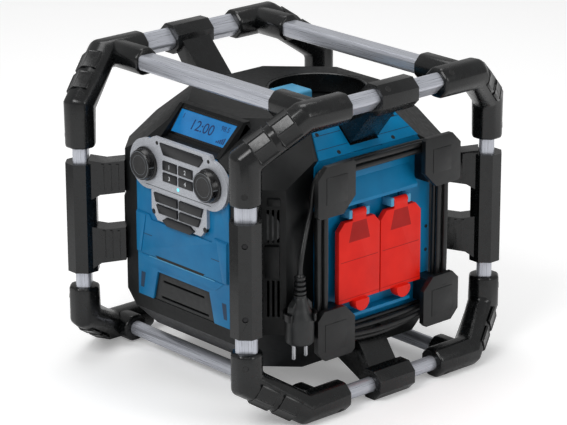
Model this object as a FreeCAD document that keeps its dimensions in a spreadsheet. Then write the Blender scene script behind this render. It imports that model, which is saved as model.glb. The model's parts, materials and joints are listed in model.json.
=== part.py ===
import FreeCAD, Part
import math
import os
import Sketcher
from FreeCAD import Placement, Rotation, Vector

os.makedirs("parts", exist_ok=True)
doc = FreeCAD.newDocument("jobsite_radio")

# Driving dimensions in millimetres, origin at the bottom centre of the cage, front towards -Y

SIZES = [
    ("rail_x", 183.5),
    ("rail_rise", 177.0),
    ("bar_y", 117.0),
    ("post_x", 152.0),
    ("post_y", 196.0),
    ("section_across", 37.0),
    ("bend_y", 136.0),
    ("mouth_y", 74.0),
    ("boss_x", 119.0),
    ("bottom_boss_x", 150.0),
    ("top_bend_rise", 131.0),
    ("bottom_bend_drop", 138.0),
    ("top_leg_rise", 79.0),
    ("bottom_leg_drop", 99.0),
    ("tube_width", 26.0),
    ("tube_depth", 18.5),
    ("tube_wall", 1.8),
    ("tube_round", 5.0),
    ("round_tube_diameter", 18.5),
    ("socket_clearance", 0.3),
    ("sleeve_top", 60.0),
    ("sleeve_bottom", 79.0),
    ("web_thickness", 26.0),
    ("clamp_length", 58.0),
    ("clamp_arm_width", 44.0),
    ("screw_head_diameter", 6.5),
    ("screw_head_height", 3.0),
    ("case_half_x", 144.0),
    ("case_half_y", 162.0),
    ("corner_reach", 271.0),
    ("case_wall", 3.0),
    ("case_bottom", 153.0),
    ("case_top", 142.0),
    ("shoulder_rise", 79.0),
    ("face_rise", 104.0),
    ("hip_drop", 100.0),
    ("skirt_drop", 118.0),
    ("roof_inset", 40.0),
    ("skirt_inset", 12.0),
    ("end_skirt_inset", 38.0),
    ("roof_corner_slope", 1.75),
    ("skirt_corner_slope", 0.9),
    ("joint_gap", 0.3),
    ("fascia_half_width", 85.0),
    ("fascia_top", 104.0),
    ("fascia_bottom", 100.0),
    ("fascia_thickness", 5.0),
    ("fascia_proud", 2.0),
    ("band_proud", 4.0),
    ("plate_thickness", 5.5),
    ("plate_half_width", 51.0),
    ("plate_top", 110.0),
    ("plate_bottom", 6.0),
    ("plate_lobe_radius", 31.0),
    ("knob_offset", 58.5),
    ("knob_rise", 73.5),
    ("knob_base_radius", 21.0),
    ("knob_face_radius", 17.5),
    ("knob_height", 11.5),
    ("knob_shaft_diameter", 6.0),
    ("button_proud", 1.5),
    ("button_depth", 5.0),
    ("button_gap", 0.4),
    ("button_travel", 1.2),
    ("sub_half_width", 48.0),
    ("sub_top", 63.0),
    ("sub_driver_radius", 52.0),
    ("bezel_half_width", 58.0),
    ("display_shift", 7.0),
    ("display_half_width", 51.0),
    ("display_height", 31.0),
    ("side_shift", 10.0),
    ("side_half_width", 94.0),
    ("side_top", 76.0),
    ("side_bottom", 112.0),
    ("side_thickness", 6.0),
    ("cover_shift", 7.0),
    ("cover_width", 66.0),
    ("cover_height", 106.0),
    ("cover_thickness", 7.0),
    ("cover_hinge_rise", 34.0),
    ("cover_gap", 2.0),
    ("hinge_pin_diameter", 4.0),
    ("socket_radius", 22.0),
    ("hook_inner", 57.0),
    ("hook_stem_inner", 68.0),
    ("hook_outer", 116.0),
    ("hook_top", 107.0),
    ("hook_low", 45.0),
    ("hook_stem", 22.0),
    ("hook_reach", 25.2),
    ("hook_head", 7.0),
    ("cord_diameter", 6.5),
    ("cord_pitch", 7.8),
    ("plug_x", 164.0),
    ("plug_y", 124.0),
    ("plug_width", 34.0),
    ("plug_top", 48.0),
    ("plug_bottom", 104.0),
    ("pin_spacing", 19.0),
    ("pin_diameter", 4.8),
    ("pin_length", 19.0),
    ("speaker_radius", 19.0),
]

sheet = doc.addObject("Spreadsheet::Sheet", "Sizes")
for row, (alias, value) in enumerate(SIZES, 1):
    sheet.set("A%d" % row, alias)
    sheet.set("B%d" % row, str(value))
    sheet.setAlias("B%d" % row, alias)
doc.recompute()


class Measure:
    """A length that remembers the sheet formula it comes from."""

    def __init__(self, number, formula):
        self.number = number
        self.formula = formula

    def __add__(self, other):
        other = as_measure(other)
        return Measure(self.number + other.number, "(%s + %s)" % (self.formula, other.formula))

    def __sub__(self, other):
        other = as_measure(other)
        return Measure(self.number - other.number, "(%s - %s)" % (self.formula, other.formula))

    def __mul__(self, other):
        other = as_measure(other)
        return Measure(self.number * other.number, "(%s * %s)" % (self.formula, other.formula))

    def __neg__(self):
        return Measure(-self.number, "(-1 * %s)" % self.formula)

    __radd__ = __add__
    __rmul__ = __mul__

    def __rsub__(self, other):
        return as_measure(other) - self


def as_measure(value):
    if isinstance(value, Measure):
        return value
    return Measure(float(value), "(%.6f)" % value)


def size(alias):
    return Measure(float(sheet.get(alias)), "Sizes." + alias)


def number(value):
    return as_measure(value).number


def vector(x, y, z):
    return Vector(number(x), number(y), number(z))


def height(rise):
    """A height above the floor from a rise above the middle of the cage."""
    return size("rail_rise") + size("section_across") * 0.5 + rise


def bind(item, prop, value):
    value = as_measure(value)
    if "Sizes." in value.formula:
        item.setExpression(prop, value.formula)
    else:
        setattr(item, prop, value.number)


def place(item, x, y, z, rotation=None):
    """Puts an item at a point that follows the sheet, turned by a fixed rotation."""
    item.Placement = Placement(vector(x, y, z), rotation or Rotation())
    for axis, value in zip("xyz", (x, y, z)):
        value = as_measure(value)
        if "Sizes." in value.formula:
            item.setExpression("Placement.Base." + axis, value.formula)


def add(kind):
    item = doc.addObject(kind, kind.split("::")[1])
    return item


# Primitive shapes and booleans

def box(x_range, y_range, z_range):
    item = add("Part::Box")
    for prop, ends in (("Length", x_range), ("Width", y_range), ("Height", z_range)):
        bind(item, prop, as_measure(ends[1]) - ends[0])
    place(item, x_range[0], y_range[0], z_range[0])
    return item


def aim(direction):
    return Rotation(Vector(0, 0, 1), direction)


def cylinder(base, direction, radius, length):
    item = add("Part::Cylinder")
    bind(item, "Radius", radius)
    bind(item, "Height", length)
    place(item, base[0], base[1], base[2], aim(direction))
    return item


def cone(base, direction, low_radius, high_radius, length):
    item = add("Part::Cone")
    bind(item, "Radius1", low_radius)
    bind(item, "Radius2", high_radius)
    bind(item, "Height", length)
    place(item, base[0], base[1], base[2], aim(direction))
    return item


def octagon(base, direction, across, length):
    """An eight-sided bar with a flat side facing each way round its axis."""
    item = add("Part::Prism")
    item.Polygon = 8
    bind(item, "Circumradius", as_measure(across) * (0.5 / math.cos(math.pi / 8)))
    bind(item, "Height", length)
    turn = aim(direction).multiply(Rotation(Vector(0, 0, 1), 22.5))
    place(item, base[0], base[1], base[2], turn)
    return item


def sphere(centre, radius):
    item = add("Part::Sphere")
    bind(item, "Radius", radius)
    place(item, centre[0], centre[1], centre[2])
    return item


def fuse(items):
    item = add("Part::MultiFuse")
    item.Shapes = items
    return item


def cut(base, tools):
    item = add("Part::Cut")
    item.Base = base
    item.Tool = tools[0] if len(tools) == 1 else fuse(tools)
    return item


def common(base, tool):
    item = add("Part::Common")
    item.Base = base
    item.Tool = tool
    return item


def group(items):
    item = add("Part::Compound")
    item.Links = items
    return item


def rounded_bar(centre, rotation, wide, deep, length, radius):
    """A bar of rounded oblong section, its middle at a point and its length along local Z."""
    block = add("Part::Box")
    bind(block, "Length", wide)
    bind(block, "Width", deep)
    bind(block, "Height", length)
    doc.recompute()
    item = add("Part::Fillet")
    item.Base = block
    upright = [
        index for index, edge in enumerate(block.Shape.Edges, 1)
        if abs(edge.tangentAt(0).z) > 0.9
    ]
    item.Edges = [(index, number(radius), number(radius)) for index in upright]
    half = vector(wide, deep, length) * -0.5
    item.Placement = Placement(vector(*centre), rotation).multiply(Placement(half, Rotation()))
    return item


# Sketched plates

PLANES = {"XY": "XY_Plane", "XZ": "XZ_Plane", "YZ": "YZ_Plane"}


def sketch(body, plane, offset, loops):
    """A sketch whose every corner, centre and radius is held by a formula."""
    item = body.newObject("Sketcher::SketchObject", "Outline")
    origin = [f for f in body.Origin.OriginFeatures if f.Role == PLANES[plane]][0]
    item.AttachmentSupport = [(origin, "")]
    item.MapMode = "FlatFace"
    offset = as_measure(offset)
    item.AttachmentOffset = Placement(Vector(0, 0, offset.number), Rotation())
    if "Sizes." in offset.formula:
        item.setExpression("AttachmentOffset.Base.z", offset.formula)
    for loop in loops:
        if loop[0] == "circle":
            sketch_circle(item, loop)
        else:
            sketch_polygon(item, loop)
    return item


def hold(item, kind, shape, point, value):
    value = as_measure(value)
    index = item.addConstraint(Sketcher.Constraint(kind, -1, 1, shape, point, value.number))
    if "Sizes." in value.formula:
        item.setExpression("Constraints[%d]" % index, value.formula)


def sketch_polygon(item, points):
    first = item.GeometryCount
    corners = [vector(x, y, 0) for x, y in points]
    for start, end in zip(corners, corners[1:] + corners[:1]):
        item.addGeometry(Part.LineSegment(start, end), False)
    count = len(points)
    for step in range(count):
        after = first + (step + 1) % count
        item.addConstraint(Sketcher.Constraint("Coincident", first + step, 2, after, 1))
    for step, (x, y) in enumerate(points):
        hold(item, "DistanceX", first + step, 1, x)
        hold(item, "DistanceY", first + step, 1, y)


def sketch_circle(item, loop):
    centre_x, centre_y, radius = loop[1:]
    shape = item.addGeometry(
        Part.Circle(vector(centre_x, centre_y, 0), Vector(0, 0, 1), number(radius)), False)
    hold(item, "DistanceX", shape, 3, centre_x)
    hold(item, "DistanceY", shape, 3, centre_y)
    radius = as_measure(radius)
    index = item.addConstraint(Sketcher.Constraint("Radius", shape, radius.number))
    if "Sizes." in radius.formula:
        item.setExpression("Constraints[%d]" % index, radius.formula)


def pad(body, plane, offset, loops, length, middle=False):
    """Pads loops from a plane; XZ pads run towards -Y and YZ pads towards +X."""
    outline = sketch(body, plane, offset, loops)
    item = body.newObject("PartDesign::Pad", "Pad")
    item.Profile = outline
    bind(item, "Length", length)
    if middle:
        item.SideType = "Symmetric"
    return item


def plate(plane, offset, loops, length, middle=False):
    body = doc.addObject("PartDesign::Body", "Body")
    pad(body, plane, offset, loops, length, middle)
    return body


def rectangle(low_x, high_x, low_y, high_y):
    return [(low_x, low_y), (high_x, low_y), (high_x, high_y), (low_x, high_y)]


NODES = {}


def node(label, item):
    item.Label = label
    NODES[label] = item


# Cage: sockets, tubes, sleeves and clamps

SIDES = {"left": -1, "right": 1}
ENDS = {"front": -1, "rear": 1}
LEVELS = {"bottom": -1, "top": 1}
ACROSS = size("section_across")
CLEAR = size("socket_clearance")


def bar_section(level, grow):
    """Width, depth and corner radius of the bars and rails at one level of the cage."""
    if level > 0:
        wide = size("tube_width") + 2 * as_measure(grow)
        deep = size("tube_depth") + 2 * as_measure(grow)
        return wide, deep, number(size("tube_round")) + number(grow)
    wide = size("round_tube_diameter") + 2 * as_measure(grow)
    return wide, wide, number(wide) * 0.499


def along_x(level):
    turn = Rotation(Vector(0, 1, 0), 90)
    if level > 0:
        return turn.multiply(Rotation(Vector(0, 0, 1), 90))
    return turn


def along_y(side, level):
    turn = Rotation(Vector(1, 0, 0), 90)
    if level > 0:
        return turn.multiply(Rotation(Vector(0, 0, 1), 45 * side))
    return turn


def post_turn(side, end):
    return Rotation(Vector(0, 0, 1), -45 * side * end)


def tube(centre, rotation, section, length):
    """A hollow bar of the cage."""
    wide, deep, radius = section
    wall = size("tube_wall")
    outer = rounded_bar(centre, rotation, wide, deep, length, radius)
    inner = rounded_bar(centre, rotation, wide - 2 * wall, deep - 2 * wall,
                        length + 2.0, radius - number(wall))
    return cut(outer, [inner])


def bend_height(level):
    if level > 0:
        return height(size("top_bend_rise"))
    return height(-size("bottom_bend_drop"))


def leg_height(level):
    if level > 0:
        return height(size("top_leg_rise"))
    return height(-size("bottom_leg_drop"))


def boss_reach(level):
    if level > 0:
        return size("boss_x")
    return size("bottom_boss_x")


def run(start, end, across):
    """An eight-sided bar from one point to another."""
    direction = vector(*end) - vector(*start)
    item = octagon(start, direction, across, direction.Length)
    return item


SOCKET_DEPTH = 40.0


def corner_fitting(side, end, level):
    """A moulded corner that carries one rail, one cross bar and one post."""
    rail_z = height(level * size("rail_rise"))
    mouth = (side * size("rail_x"), end * size("mouth_y"), rail_z)
    elbow = (side * size("rail_x"), end * size("bend_y"), rail_z)
    heel = (side * size("post_x"), end * size("post_y"), bend_height(level))
    foot = (side * size("post_x"), end * size("post_y"), leg_height(level))
    boss = (side * boss_reach(level), end * size("bar_y"), rail_z)
    root = (side * size("rail_x"), end * size("bar_y"), rail_z)
    solid = fuse([
        run(elbow, mouth, ACROSS),
        run(root, boss, ACROSS - 3.0),
        run(elbow, heel, ACROSS + 0.5),
        run(heel, foot, ACROSS),
        sphere(elbow, ACROSS * 0.535),
        sphere(heel, ACROSS * 0.535),
    ])
    wide, deep, radius = bar_section(level, CLEAR)
    rail_bore = rounded_bar(
        (mouth[0], mouth[1] + end * (SOCKET_DEPTH / 2 - 1.0), rail_z),
        along_y(side, level), wide, deep, SOCKET_DEPTH + 2.0, radius)
    bar_bore = rounded_bar(
        (side * (size("boss_x") + SOCKET_DEPTH / 2 - 1.0), boss[1], rail_z),
        along_x(level), wide, deep, SOCKET_DEPTH + 2.0, radius)
    wide, deep, radius = bar_section(1, CLEAR)
    post_bore = rounded_bar(
        (foot[0], foot[1], foot[2] + level * (SOCKET_DEPTH / 2 - 1.0)),
        post_turn(side, end), wide, deep, SOCKET_DEPTH + 2.0, radius)
    tools = [rail_bore, bar_bore, post_bore]
    if level < 0:
        tools.append(box((-250.0, 250.0), (-250.0, 250.0), (-20.0, 0.0)))
    return cut(solid, tools)


def cage():
    reach = SOCKET_DEPTH - 1.0
    for side_name, side in SIDES.items():
        for end_name, end in ENDS.items():
            for level_name, level in LEVELS.items():
                label = "corner_fitting_%s_%s_%s" % (end_name, side_name, level_name)
                node(label, corner_fitting(side, end, level))
            low = leg_height(-1) - reach
            high = leg_height(1) + reach
            centre = (side * size("post_x"), end * size("post_y"), (low + high) * 0.5)
            post = tube(centre, post_turn(side, end), bar_section(1, 0), high - low)
            node("post_%s_%s" % (end_name, side_name), post)
            node("post_sleeve_%s_%s" % (end_name, side_name), post_sleeve(side, end))
        for level_name, level in LEVELS.items():
            centre = (side * size("rail_x"), 0.0, height(level * size("rail_rise")))
            length = (size("mouth_y") + reach) * 2
            rail = tube(centre, along_y(side, level), bar_section(level, 0), length)
            node("side_rail_%s_%s" % (side_name, level_name), rail)
            node("rail_clamp_%s_%s" % (side_name, level_name), rail_clamp(side, level))
    for end_name, end in ENDS.items():
        for level_name, level in LEVELS.items():
            centre = (0.0, end * size("bar_y"), height(level * size("rail_rise")))
            length = (size("boss_x") + reach) * 2
            bar = tube(centre, along_x(level), bar_section(level, 0), length)
            node("cross_bar_%s_%s" % (end_name, level_name), bar)


def web_reach():
    """Distance from a post's axis to the chamfered corner of the casing."""
    gap = size("post_x") + size("post_y") - size("corner_reach")
    return gap * math.sqrt(0.5)


SCREWS = []
SLEEVE_SCREWS = (35.0, -54.0)
SHANK_RADIUS = 1.5


def sunk_screw(point, outward, sink, shank):
    """Adds a screw sunk below a point on a face and returns the hole it sits in."""
    head = size("screw_head_diameter") * 0.5
    deep = size("screw_head_height") + sink
    gap = size("joint_gap")

    def below(depth):
        return [as_measure(part) - as_measure(depth) * way for part, way in zip(point, outward)]

    SCREWS.append(fuse([
        cylinder(below(deep), outward, head, size("screw_head_height")),
        cylinder(below(deep + shank), outward, SHANK_RADIUS, shank + 0.5),
    ]))
    return fuse([
        cylinder(below(deep), outward, head + gap, deep + 10.0),
        cylinder(below(deep + shank + gap), outward, SHANK_RADIUS + gap, shank + 1.0),
    ])


WEBS = [
    (65.0, 62.0, 25.0, 13.0),
    (-20.0, -23.0, -62.0, -76.0),
]
WEB_RIBS = (26.0, 35.0, 44.0)
RIB_DEPTH = 1.6
RIB_WIDTH = 3.0


def post_sleeve(side, end):
    """A sleeve on a post with two ribbed webs that reach in to the casing's corner."""
    low = height(-size("sleeve_bottom"))
    high = height(size("sleeve_top"))
    x = side * size("post_x")
    y = end * size("post_y")
    parts = [octagon((x, y, low), Vector(0, 0, 1), ACROSS, high - low)]
    inward = Rotation(Vector(0, 0, 1), math.degrees(math.atan2(-end, -side)))
    tip = web_reach() - size("joint_gap")
    for top_in, top_mid, bottom_out, bottom_in in WEBS:
        outline = [
            (10.0, height(bottom_in)),
            (24.0, height((bottom_in + 2 * bottom_out) / 3)),
            (tip, height(bottom_out)),
            (tip, height(top_in)),
            (30.0, height(top_mid)),
            (10.0, height(top_in)),
        ]
        web = plate("XZ", 0.0, [outline], size("web_thickness"), middle=True)
        place(web, x, y, 0.0, inward)
        parts.append(web)
        for rib in WEB_RIBS:
            loop = rectangle(rib, rib + RIB_WIDTH, height(bottom_out + 1.5), height(top_mid - 1.5))
            bar = plate("XZ", 0.0, [loop], size("web_thickness") + 2 * RIB_DEPTH, middle=True)
            place(bar, x, y, 0.0, inward)
            parts.append(bar)
    wide, deep, radius = bar_section(1, CLEAR)
    bore = rounded_bar((x, y, (low + high) * 0.5), post_turn(side, end),
                       wide, deep, high - low + 2.0, radius)
    outward = Vector(side, end, 0).normalize()
    skin = ACROSS * 0.5
    screws = [sunk_screw((x + skin * outward.x, y + skin * outward.y, height(rise)),
                         outward, 1.0, 3.0) for rise in SLEEVE_SCREWS]
    return cut(fuse(parts), [bore] + screws)


def rail_clamp(side, level):
    """A clamp at the middle of a rail with a ribbed arm that reaches in to the casing."""
    rail_z = height(level * size("rail_rise"))
    x = side * size("rail_x")
    half = size("clamp_length") * 0.5
    parts = [octagon((x, -half, rail_z), Vector(0, 1, 0), ACROSS, half * 2)]
    gap = size("joint_gap")
    if level > 0:
        inner = size("case_half_x") - 20.0
        seat = size("face_rise") + (size("case_half_x") - inner) * (
            (number(size("case_top")) - number(size("face_rise"))) / number(size("roof_inset")))
        outline = [
            (side * (inner - 6.0), height(seat + gap * 1.5 + 6.0)),
            (side * (inner + 14.0), height(seat + gap * 1.5 - 13.0)),
            (side * (size("rail_x") - 2.0), height(size("rail_rise") - 12.0)),
            (side * (size("rail_x") - 14.0), height(size("rail_rise") + 4.0)),
        ]
    else:
        wall = size("case_half_x") + gap
        outline = [
            (side * wall, height(-size("skirt_drop") + 2.0)),
            (side * wall, height(-size("skirt_drop") - 0.3)),
            (side * (wall - 10.0), height(-size("case_bottom") + 4.0)),
            (side * (wall - 10.0), height(-size("case_bottom") - gap)),
            (side * (wall - 26.0), height(-size("case_bottom") - gap)),
            (side * (wall - 26.0), height(-size("case_bottom") - 9.0)),
            (side * (size("rail_x") - 16.0), height(-size("rail_rise") - 8.0)),
            (side * (size("rail_x") - 4.0), height(-size("rail_rise") + 12.0)),
        ]
    arm = plate("XZ", 0.0, [outline], size("clamp_arm_width"), middle=True)
    parts.append(arm)
    wide, deep, radius = bar_section(level, CLEAR)
    bore = rounded_bar((x, 0.0, rail_z), along_y(side, level),
                       wide, deep, half * 2 + 2.0, radius)
    return cut(fuse(parts), [bore])


# Casing

def ring(half_x, half_y, reach):
    """The eight corners of the casing's plan, chamfered where x + y passes the reach."""
    return [
        (half_x, reach - half_x), (reach - half_y, half_y),
        (half_y - reach, half_y), (-half_x, reach - half_x),
        (-half_x, half_x - reach), (half_y - reach, -half_y),
        (reach - half_y, -half_y), (half_x, half_x - reach),
    ]


def casing_block(inset):
    """The casing's faceted block, drawn in by a wall's thickness on every side."""
    half_x = size("case_half_x") - inset
    half_y = size("case_half_y") - inset
    reach = size("corner_reach") - as_measure(inset) * math.sqrt(2.0)
    roof = size("roof_corner_slope")
    skirt = size("skirt_corner_slope")
    levels = [
        (-size("case_bottom") + inset, size("skirt_inset"), size("end_skirt_inset"),
         (size("case_bottom") - size("hip_drop")) * skirt.number),
        (-size("skirt_drop"), 0.0, 0.0, (size("skirt_drop") - size("hip_drop")) * skirt.number),
        (-size("hip_drop"), 0.0, 0.0, 0.0),
        (size("shoulder_rise"), 0.0, 0.0, 0.0),
        (size("face_rise"), 0.0, 0.0,
         (size("face_rise") - size("shoulder_rise")) * roof.number),
        (size("case_top") - inset, size("roof_inset"), size("roof_inset"),
         (size("case_top") - size("shoulder_rise")) * roof.number),
    ]
    body = doc.addObject("PartDesign::Body", "Body")
    sections = []
    for rise, draw_x, draw_y, corner in levels:
        points = ring(half_x - draw_x, half_y - draw_y, reach - corner)
        sections.append(sketch(body, "XY", height(rise), [points]))
    loft = body.newObject("PartDesign::AdditiveLoft", "AdditiveLoft")
    loft.Profile = sections[0]
    loft.Sections = sections[1:]
    loft.Ruled = True
    return body


def grown(points, grow):
    """An outline whose corners are each given with the way they move when it grows."""
    return [(x + sign_x * as_measure(grow), y + sign_y * as_measure(grow))
            for x, y, sign_x, sign_y in points]


def fascia_outline(grow):
    wide = size("fascia_half_width")
    low = height(-size("fascia_bottom"))
    high = height(size("fascia_top"))
    return grown([
        (-wide, low, -1, -1), (wide, low, 1, -1), (wide, high - 15.0, 1, 0),
        (wide - 23.0, high, 0.4, 1), (-wide + 23.0, high, -0.4, 1), (-wide, high - 15.0, -1, 0),
    ], grow)


def side_outline(grow):
    middle = size("side_shift")
    wide = size("side_half_width")
    low = height(-size("side_bottom"))
    shoulder = height(size("side_top"))
    high = height(size("face_rise") - 0.8)
    return grown([
        (middle - wide, low, -1, -1), (middle + wide, low, 1, -1),
        (middle + wide, shoulder - 2.0, 1, 0.4), (middle + wide - 22.0, high, 0.4, 1),
        (middle - wide + 6.0, high, -0.4, 1), (middle - wide, high - 6.0, -1, 0),
    ], grow)


def chamfer_turn(side, end):
    return Rotation(Vector(0, 0, 1), math.degrees(math.atan2(end, side)))


def chamfer_point(side, end, depth, rise):
    """A point on the middle of a corner chamfer, a depth in from its face."""
    middle_x = (size("case_half_x") + size("corner_reach") - size("case_half_y")) * 0.5
    middle_y = (size("case_half_y") + size("corner_reach") - size("case_half_x")) * 0.5
    step = as_measure(depth) * math.sqrt(0.5)
    return side * (middle_x - step), end * (middle_y - step), height(rise)


GRILLE_SPANS = [(15.0, 55.0), (-77.0, -32.0)]
GRILLE_STEPS = [2.0, 8.0, 14.0]
GRILLE_SLOT = 3.0


def grille_slots(side, end):
    """Upright slots through one corner chamfer, in an upper and a lower group."""
    turn = chamfer_turn(side, end)
    slots = []
    for low, high in GRILLE_SPANS:
        x, y, z = chamfer_point(side, end, 8.0, low)
        for step in GRILLE_STEPS:
            slot = add("Part::Box")
            bind(slot, "Length", 12.0)
            bind(slot, "Width", GRILLE_SLOT)
            bind(slot, "Height", high - low)
            middle = -side * end * (step + GRILLE_SLOT / 2)
            slot.Placement = Placement(vector(x, y, z), turn).multiply(
                Placement(Vector(-2.0, middle - GRILLE_SLOT / 2, 0.0), Rotation()))
            slots.append(slot)
    return slots


def bezel_half():
    return size("bezel_half_width")


BAY = {"x": 10.0, "y": 45.0, "radius": 63.0, "depth": 26.0}


def casings():
    gap = size("joint_gap")
    wall = size("case_wall")
    top = height(size("case_top"))
    floor = height(size("case_top") - BAY["depth"])
    bay_wall = cylinder((BAY["x"], BAY["y"], floor - wall), Vector(0, 0, 1),
                        BAY["radius"] + 3.0, top - floor + wall)
    shell = cut(casing_block(0.0), [casing_block(wall)])
    shell = fuse([shell, common(bay_wall, casing_block(0.0))])
    front = -size("case_half_y")
    tools = [
        cylinder((BAY["x"], BAY["y"], floor), Vector(0, 0, 1), BAY["radius"], 60.0),
        plate("XZ", size("case_half_y") - 8.0, [fascia_outline(gap)], 12.0),
        plate("YZ", size("case_half_x") - 9.0, [side_outline(gap)], 14.0),
        box((size("display_shift") - bezel_half() - gap, size("display_shift") + bezel_half() + gap),
            (front - 3.0, front + 50.0),
            (height(size("face_rise")), top + 5.0)),
    ]
    for side in SIDES.values():
        for end in ENDS.values():
            tools += grille_slots(side, end)
    shell = cut(shell, tools)
    far = size("case_half_y") + 10.0
    wide = size("case_half_x") + 10.0
    for label, y_range in (("front_casing", (-far, 0.0)), ("rear_casing", (0.0, far))):
        half = box((-wide, wide), y_range, (0.0, top + 20.0))
        node(label, common(shell, half))


def front_face(proud):
    """Offset of the front XZ planes, which count towards -Y."""
    return size("case_half_y") + proud


def fascia():
    proud = size("fascia_proud")
    thick = size("fascia_thickness")
    back = front_face(proud) - thick
    wide = size("sub_half_width")
    low = height(-size("fascia_bottom"))
    outline = fascia_outline(0.0)
    notch = [(wide + 9.0, low), (wide, height(-size("sub_top"))),
             (-wide, height(-size("sub_top"))), (-wide - 9.0, low)]
    outline = outline[1:] + outline[:1] + notch[::-1]
    holes = [("circle", side * size("knob_offset"), height(size("knob_rise")), 4.5)
             for side in SIDES.values()]
    base = plate("XZ", back, [outline] + holes, thick)
    edge = size("fascia_half_width") - 1.0
    band = plate("XZ", front_face(proud), [[
        (-edge, height(-44.0)), (edge, height(-44.0)), (edge, height(8.0)),
        (60.0, height(8.0)), (56.0, height(2.0)), (-56.0, height(2.0)),
        (-60.0, height(8.0)), (-edge, height(8.0)),
    ]], size("band_proud") - proud)
    brow = plate("XZ", front_face(proud), [[
        (-wide - 12.0, height(-58.0)), (wide + 12.0, height(-58.0)),
        (wide + 28.0, height(-46.0)), (-wide - 28.0, height(-46.0)),
    ]], 0.8)
    node("front_fascia", fuse([base, band, brow]))


KEY_ROWS = {
    "power_button": [(-26.0, 91.0), (39.0, 91.0), (47.0, 101.0), (44.0, 105.5), (-33.0, 105.5)],
    "preset_button_1": rectangle(-27.5, -1.5, 72.5, 84.5),
    "preset_button_2": rectangle(1.5, 27.5, 72.5, 84.5),
    "preset_button_3": rectangle(-27.5, -1.5, 58.5, 70.0),
    "preset_button_4": rectangle(1.5, 27.5, 58.5, 70.0),
    "previous_button": [(-41.5, 29.5), (-1.5, 29.5), (-1.5, 41.0), (-45.5, 41.0)],
    "next_button": [(1.5, 29.5), (41.5, 29.5), (45.5, 41.0), (1.5, 41.0)],
    "source_button": [(-36.0, 16.0), (-1.5, 16.0), (-1.5, 27.0), (-41.0, 27.0)],
    "equaliser_button": [(1.5, 16.0), (36.0, 16.0), (41.0, 27.0), (1.5, 27.0)],
    "pause_button": [(-22.0, 3.0), (22.0, 3.0), (30.0, 9.0), (22.0, 14.0), (-22.0, 14.0),
                     (-30.0, 9.0)],
}


def key_outline(points, shrink):
    """A key's outline on the control plate, drawn in towards its middle."""
    middle_x = sum(x for x, y in points) / len(points)
    middle_y = sum(y for x, y in points) / len(points)
    shrink = as_measure(shrink)
    outline = []
    for x, y in points:
        sign_x = math.copysign(1.0, middle_x - x)
        sign_y = math.copysign(1.0, middle_y - y) if abs(middle_y - y) > 1.0 else 0.0
        outline.append((x + sign_x * shrink, height(y + sign_y * shrink)))
    return outline


def control_plate():
    back = front_face(size("fascia_proud"))
    thick = size("plate_thickness")
    wide = size("plate_half_width")
    top = height(size("plate_top"))
    low = height(size("plate_bottom"))
    rise = height(size("knob_rise"))
    step = height(48.0)
    upper = plate("XZ", back, [[
        (-60.0, step), (60.0, step), (66.0, top - 12.0), (58.0, top), (-45.0, top),
        (-60.0, top - 8.0)]], thick)
    lower = plate("XZ", back, [[
        (-wide, step + 4.0), (-wide, low + 12.0), (-wide + 11.0, low), (wide - 11.0, low),
        (wide, low + 12.0), (wide, step + 4.0)]], thick - 0.8)
    parts = [upper, lower]
    tools = []
    for side in SIDES.values():
        x = side * size("knob_offset")
        parts.append(cylinder((x, -back, rise), Vector(0, -1, 0), size("plate_lobe_radius"), thick))
        tools.append(cylinder((x, -back + 2.0, rise), Vector(0, -1, 0),
                              size("knob_shaft_diameter") * 0.5 + 0.06, thick + 4.0))
    for points in KEY_ROWS.values():
        tools.append(plate("XZ", back - 1.0, [key_outline(points, 0.0)], thick + 3.0))
    for side in SIDES.values():
        point = (side * 47.5, -back - thick + 0.8, height(15.5))
        tools.append(sunk_screw(point, Vector(0, -1, 0), 0.2, 1.0))
    node("control_plate", cut(fuse(parts), tools))


def keys():
    back = front_face(size("fascia_proud"))
    front = back + size("plate_thickness") + size("button_proud")
    depth = size("button_depth")
    for label, points in KEY_ROWS.items():
        outline = key_outline(points, size("button_gap"))
        node(label, plate("XZ", front - depth, [outline], depth))


def knobs():
    back = front_face(size("fascia_proud")) + size("plate_thickness") + 0.4
    rise = height(size("knob_rise"))
    deep = size("knob_height")
    for label, side in (("volume_knob", -1), ("tuning_knob", 1)):
        x = side * size("knob_offset")
        skirt = cone((x, -back, rise), Vector(0, -1, 0), size("knob_base_radius"),
                     size("knob_face_radius"), deep)
        shaft = cylinder((x, -back + 12.0, rise), Vector(0, -1, 0),
                         size("knob_shaft_diameter") * 0.5, 13.0)
        mark = box((x + 13.0, x + 16.0), (-back - deep - 0.4, -back - deep + 1.0),
                   (rise - 0.8, rise + 0.8))
        node(label, fuse([skirt, shaft, mark]))


def sub_panel():
    gap = size("joint_gap")
    wide = size("sub_half_width") - gap
    low = height(-size("fascia_bottom"))
    high = height(-size("sub_top")) - gap
    outline = [(-wide - 9.0, low), (wide + 9.0, low), (wide, high), (-wide, high)]
    slots = [rectangle(-40.0, 36.0, height(-75.0), height(-72.5)),
             rectangle(-44.0, 44.0, height(-96.0), height(-93.5))]
    node("subwoofer_panel", plate("XZ", front_face(-5.5), [outline] + slots, 5.0))
    rise = height(-63.0)
    back = front_face(-5.8)
    frame = cylinder((0.0, -back, rise), Vector(0, 1, 0), size("sub_driver_radius"), 5.0)
    basket = cone((0.0, -back + 5.0, rise), Vector(0, 1, 0), size("sub_driver_radius") - 6.0,
                  28.0, 30.0)
    magnet = cylinder((0.0, -back + 35.0, rise), Vector(0, 1, 0), 38.0, 20.0)
    dish = cone((0.0, -back - 0.5, rise), Vector(0, 1, 0), size("sub_driver_radius") - 8.0,
                14.0, 22.0)
    node("subwoofer_driver", cut(fuse([frame, basket, magnet]), [dish]))


BEZEL_FOOT = (15.0, 107.0)
BEZEL_CREST = (41.0, 142.0)


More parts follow.
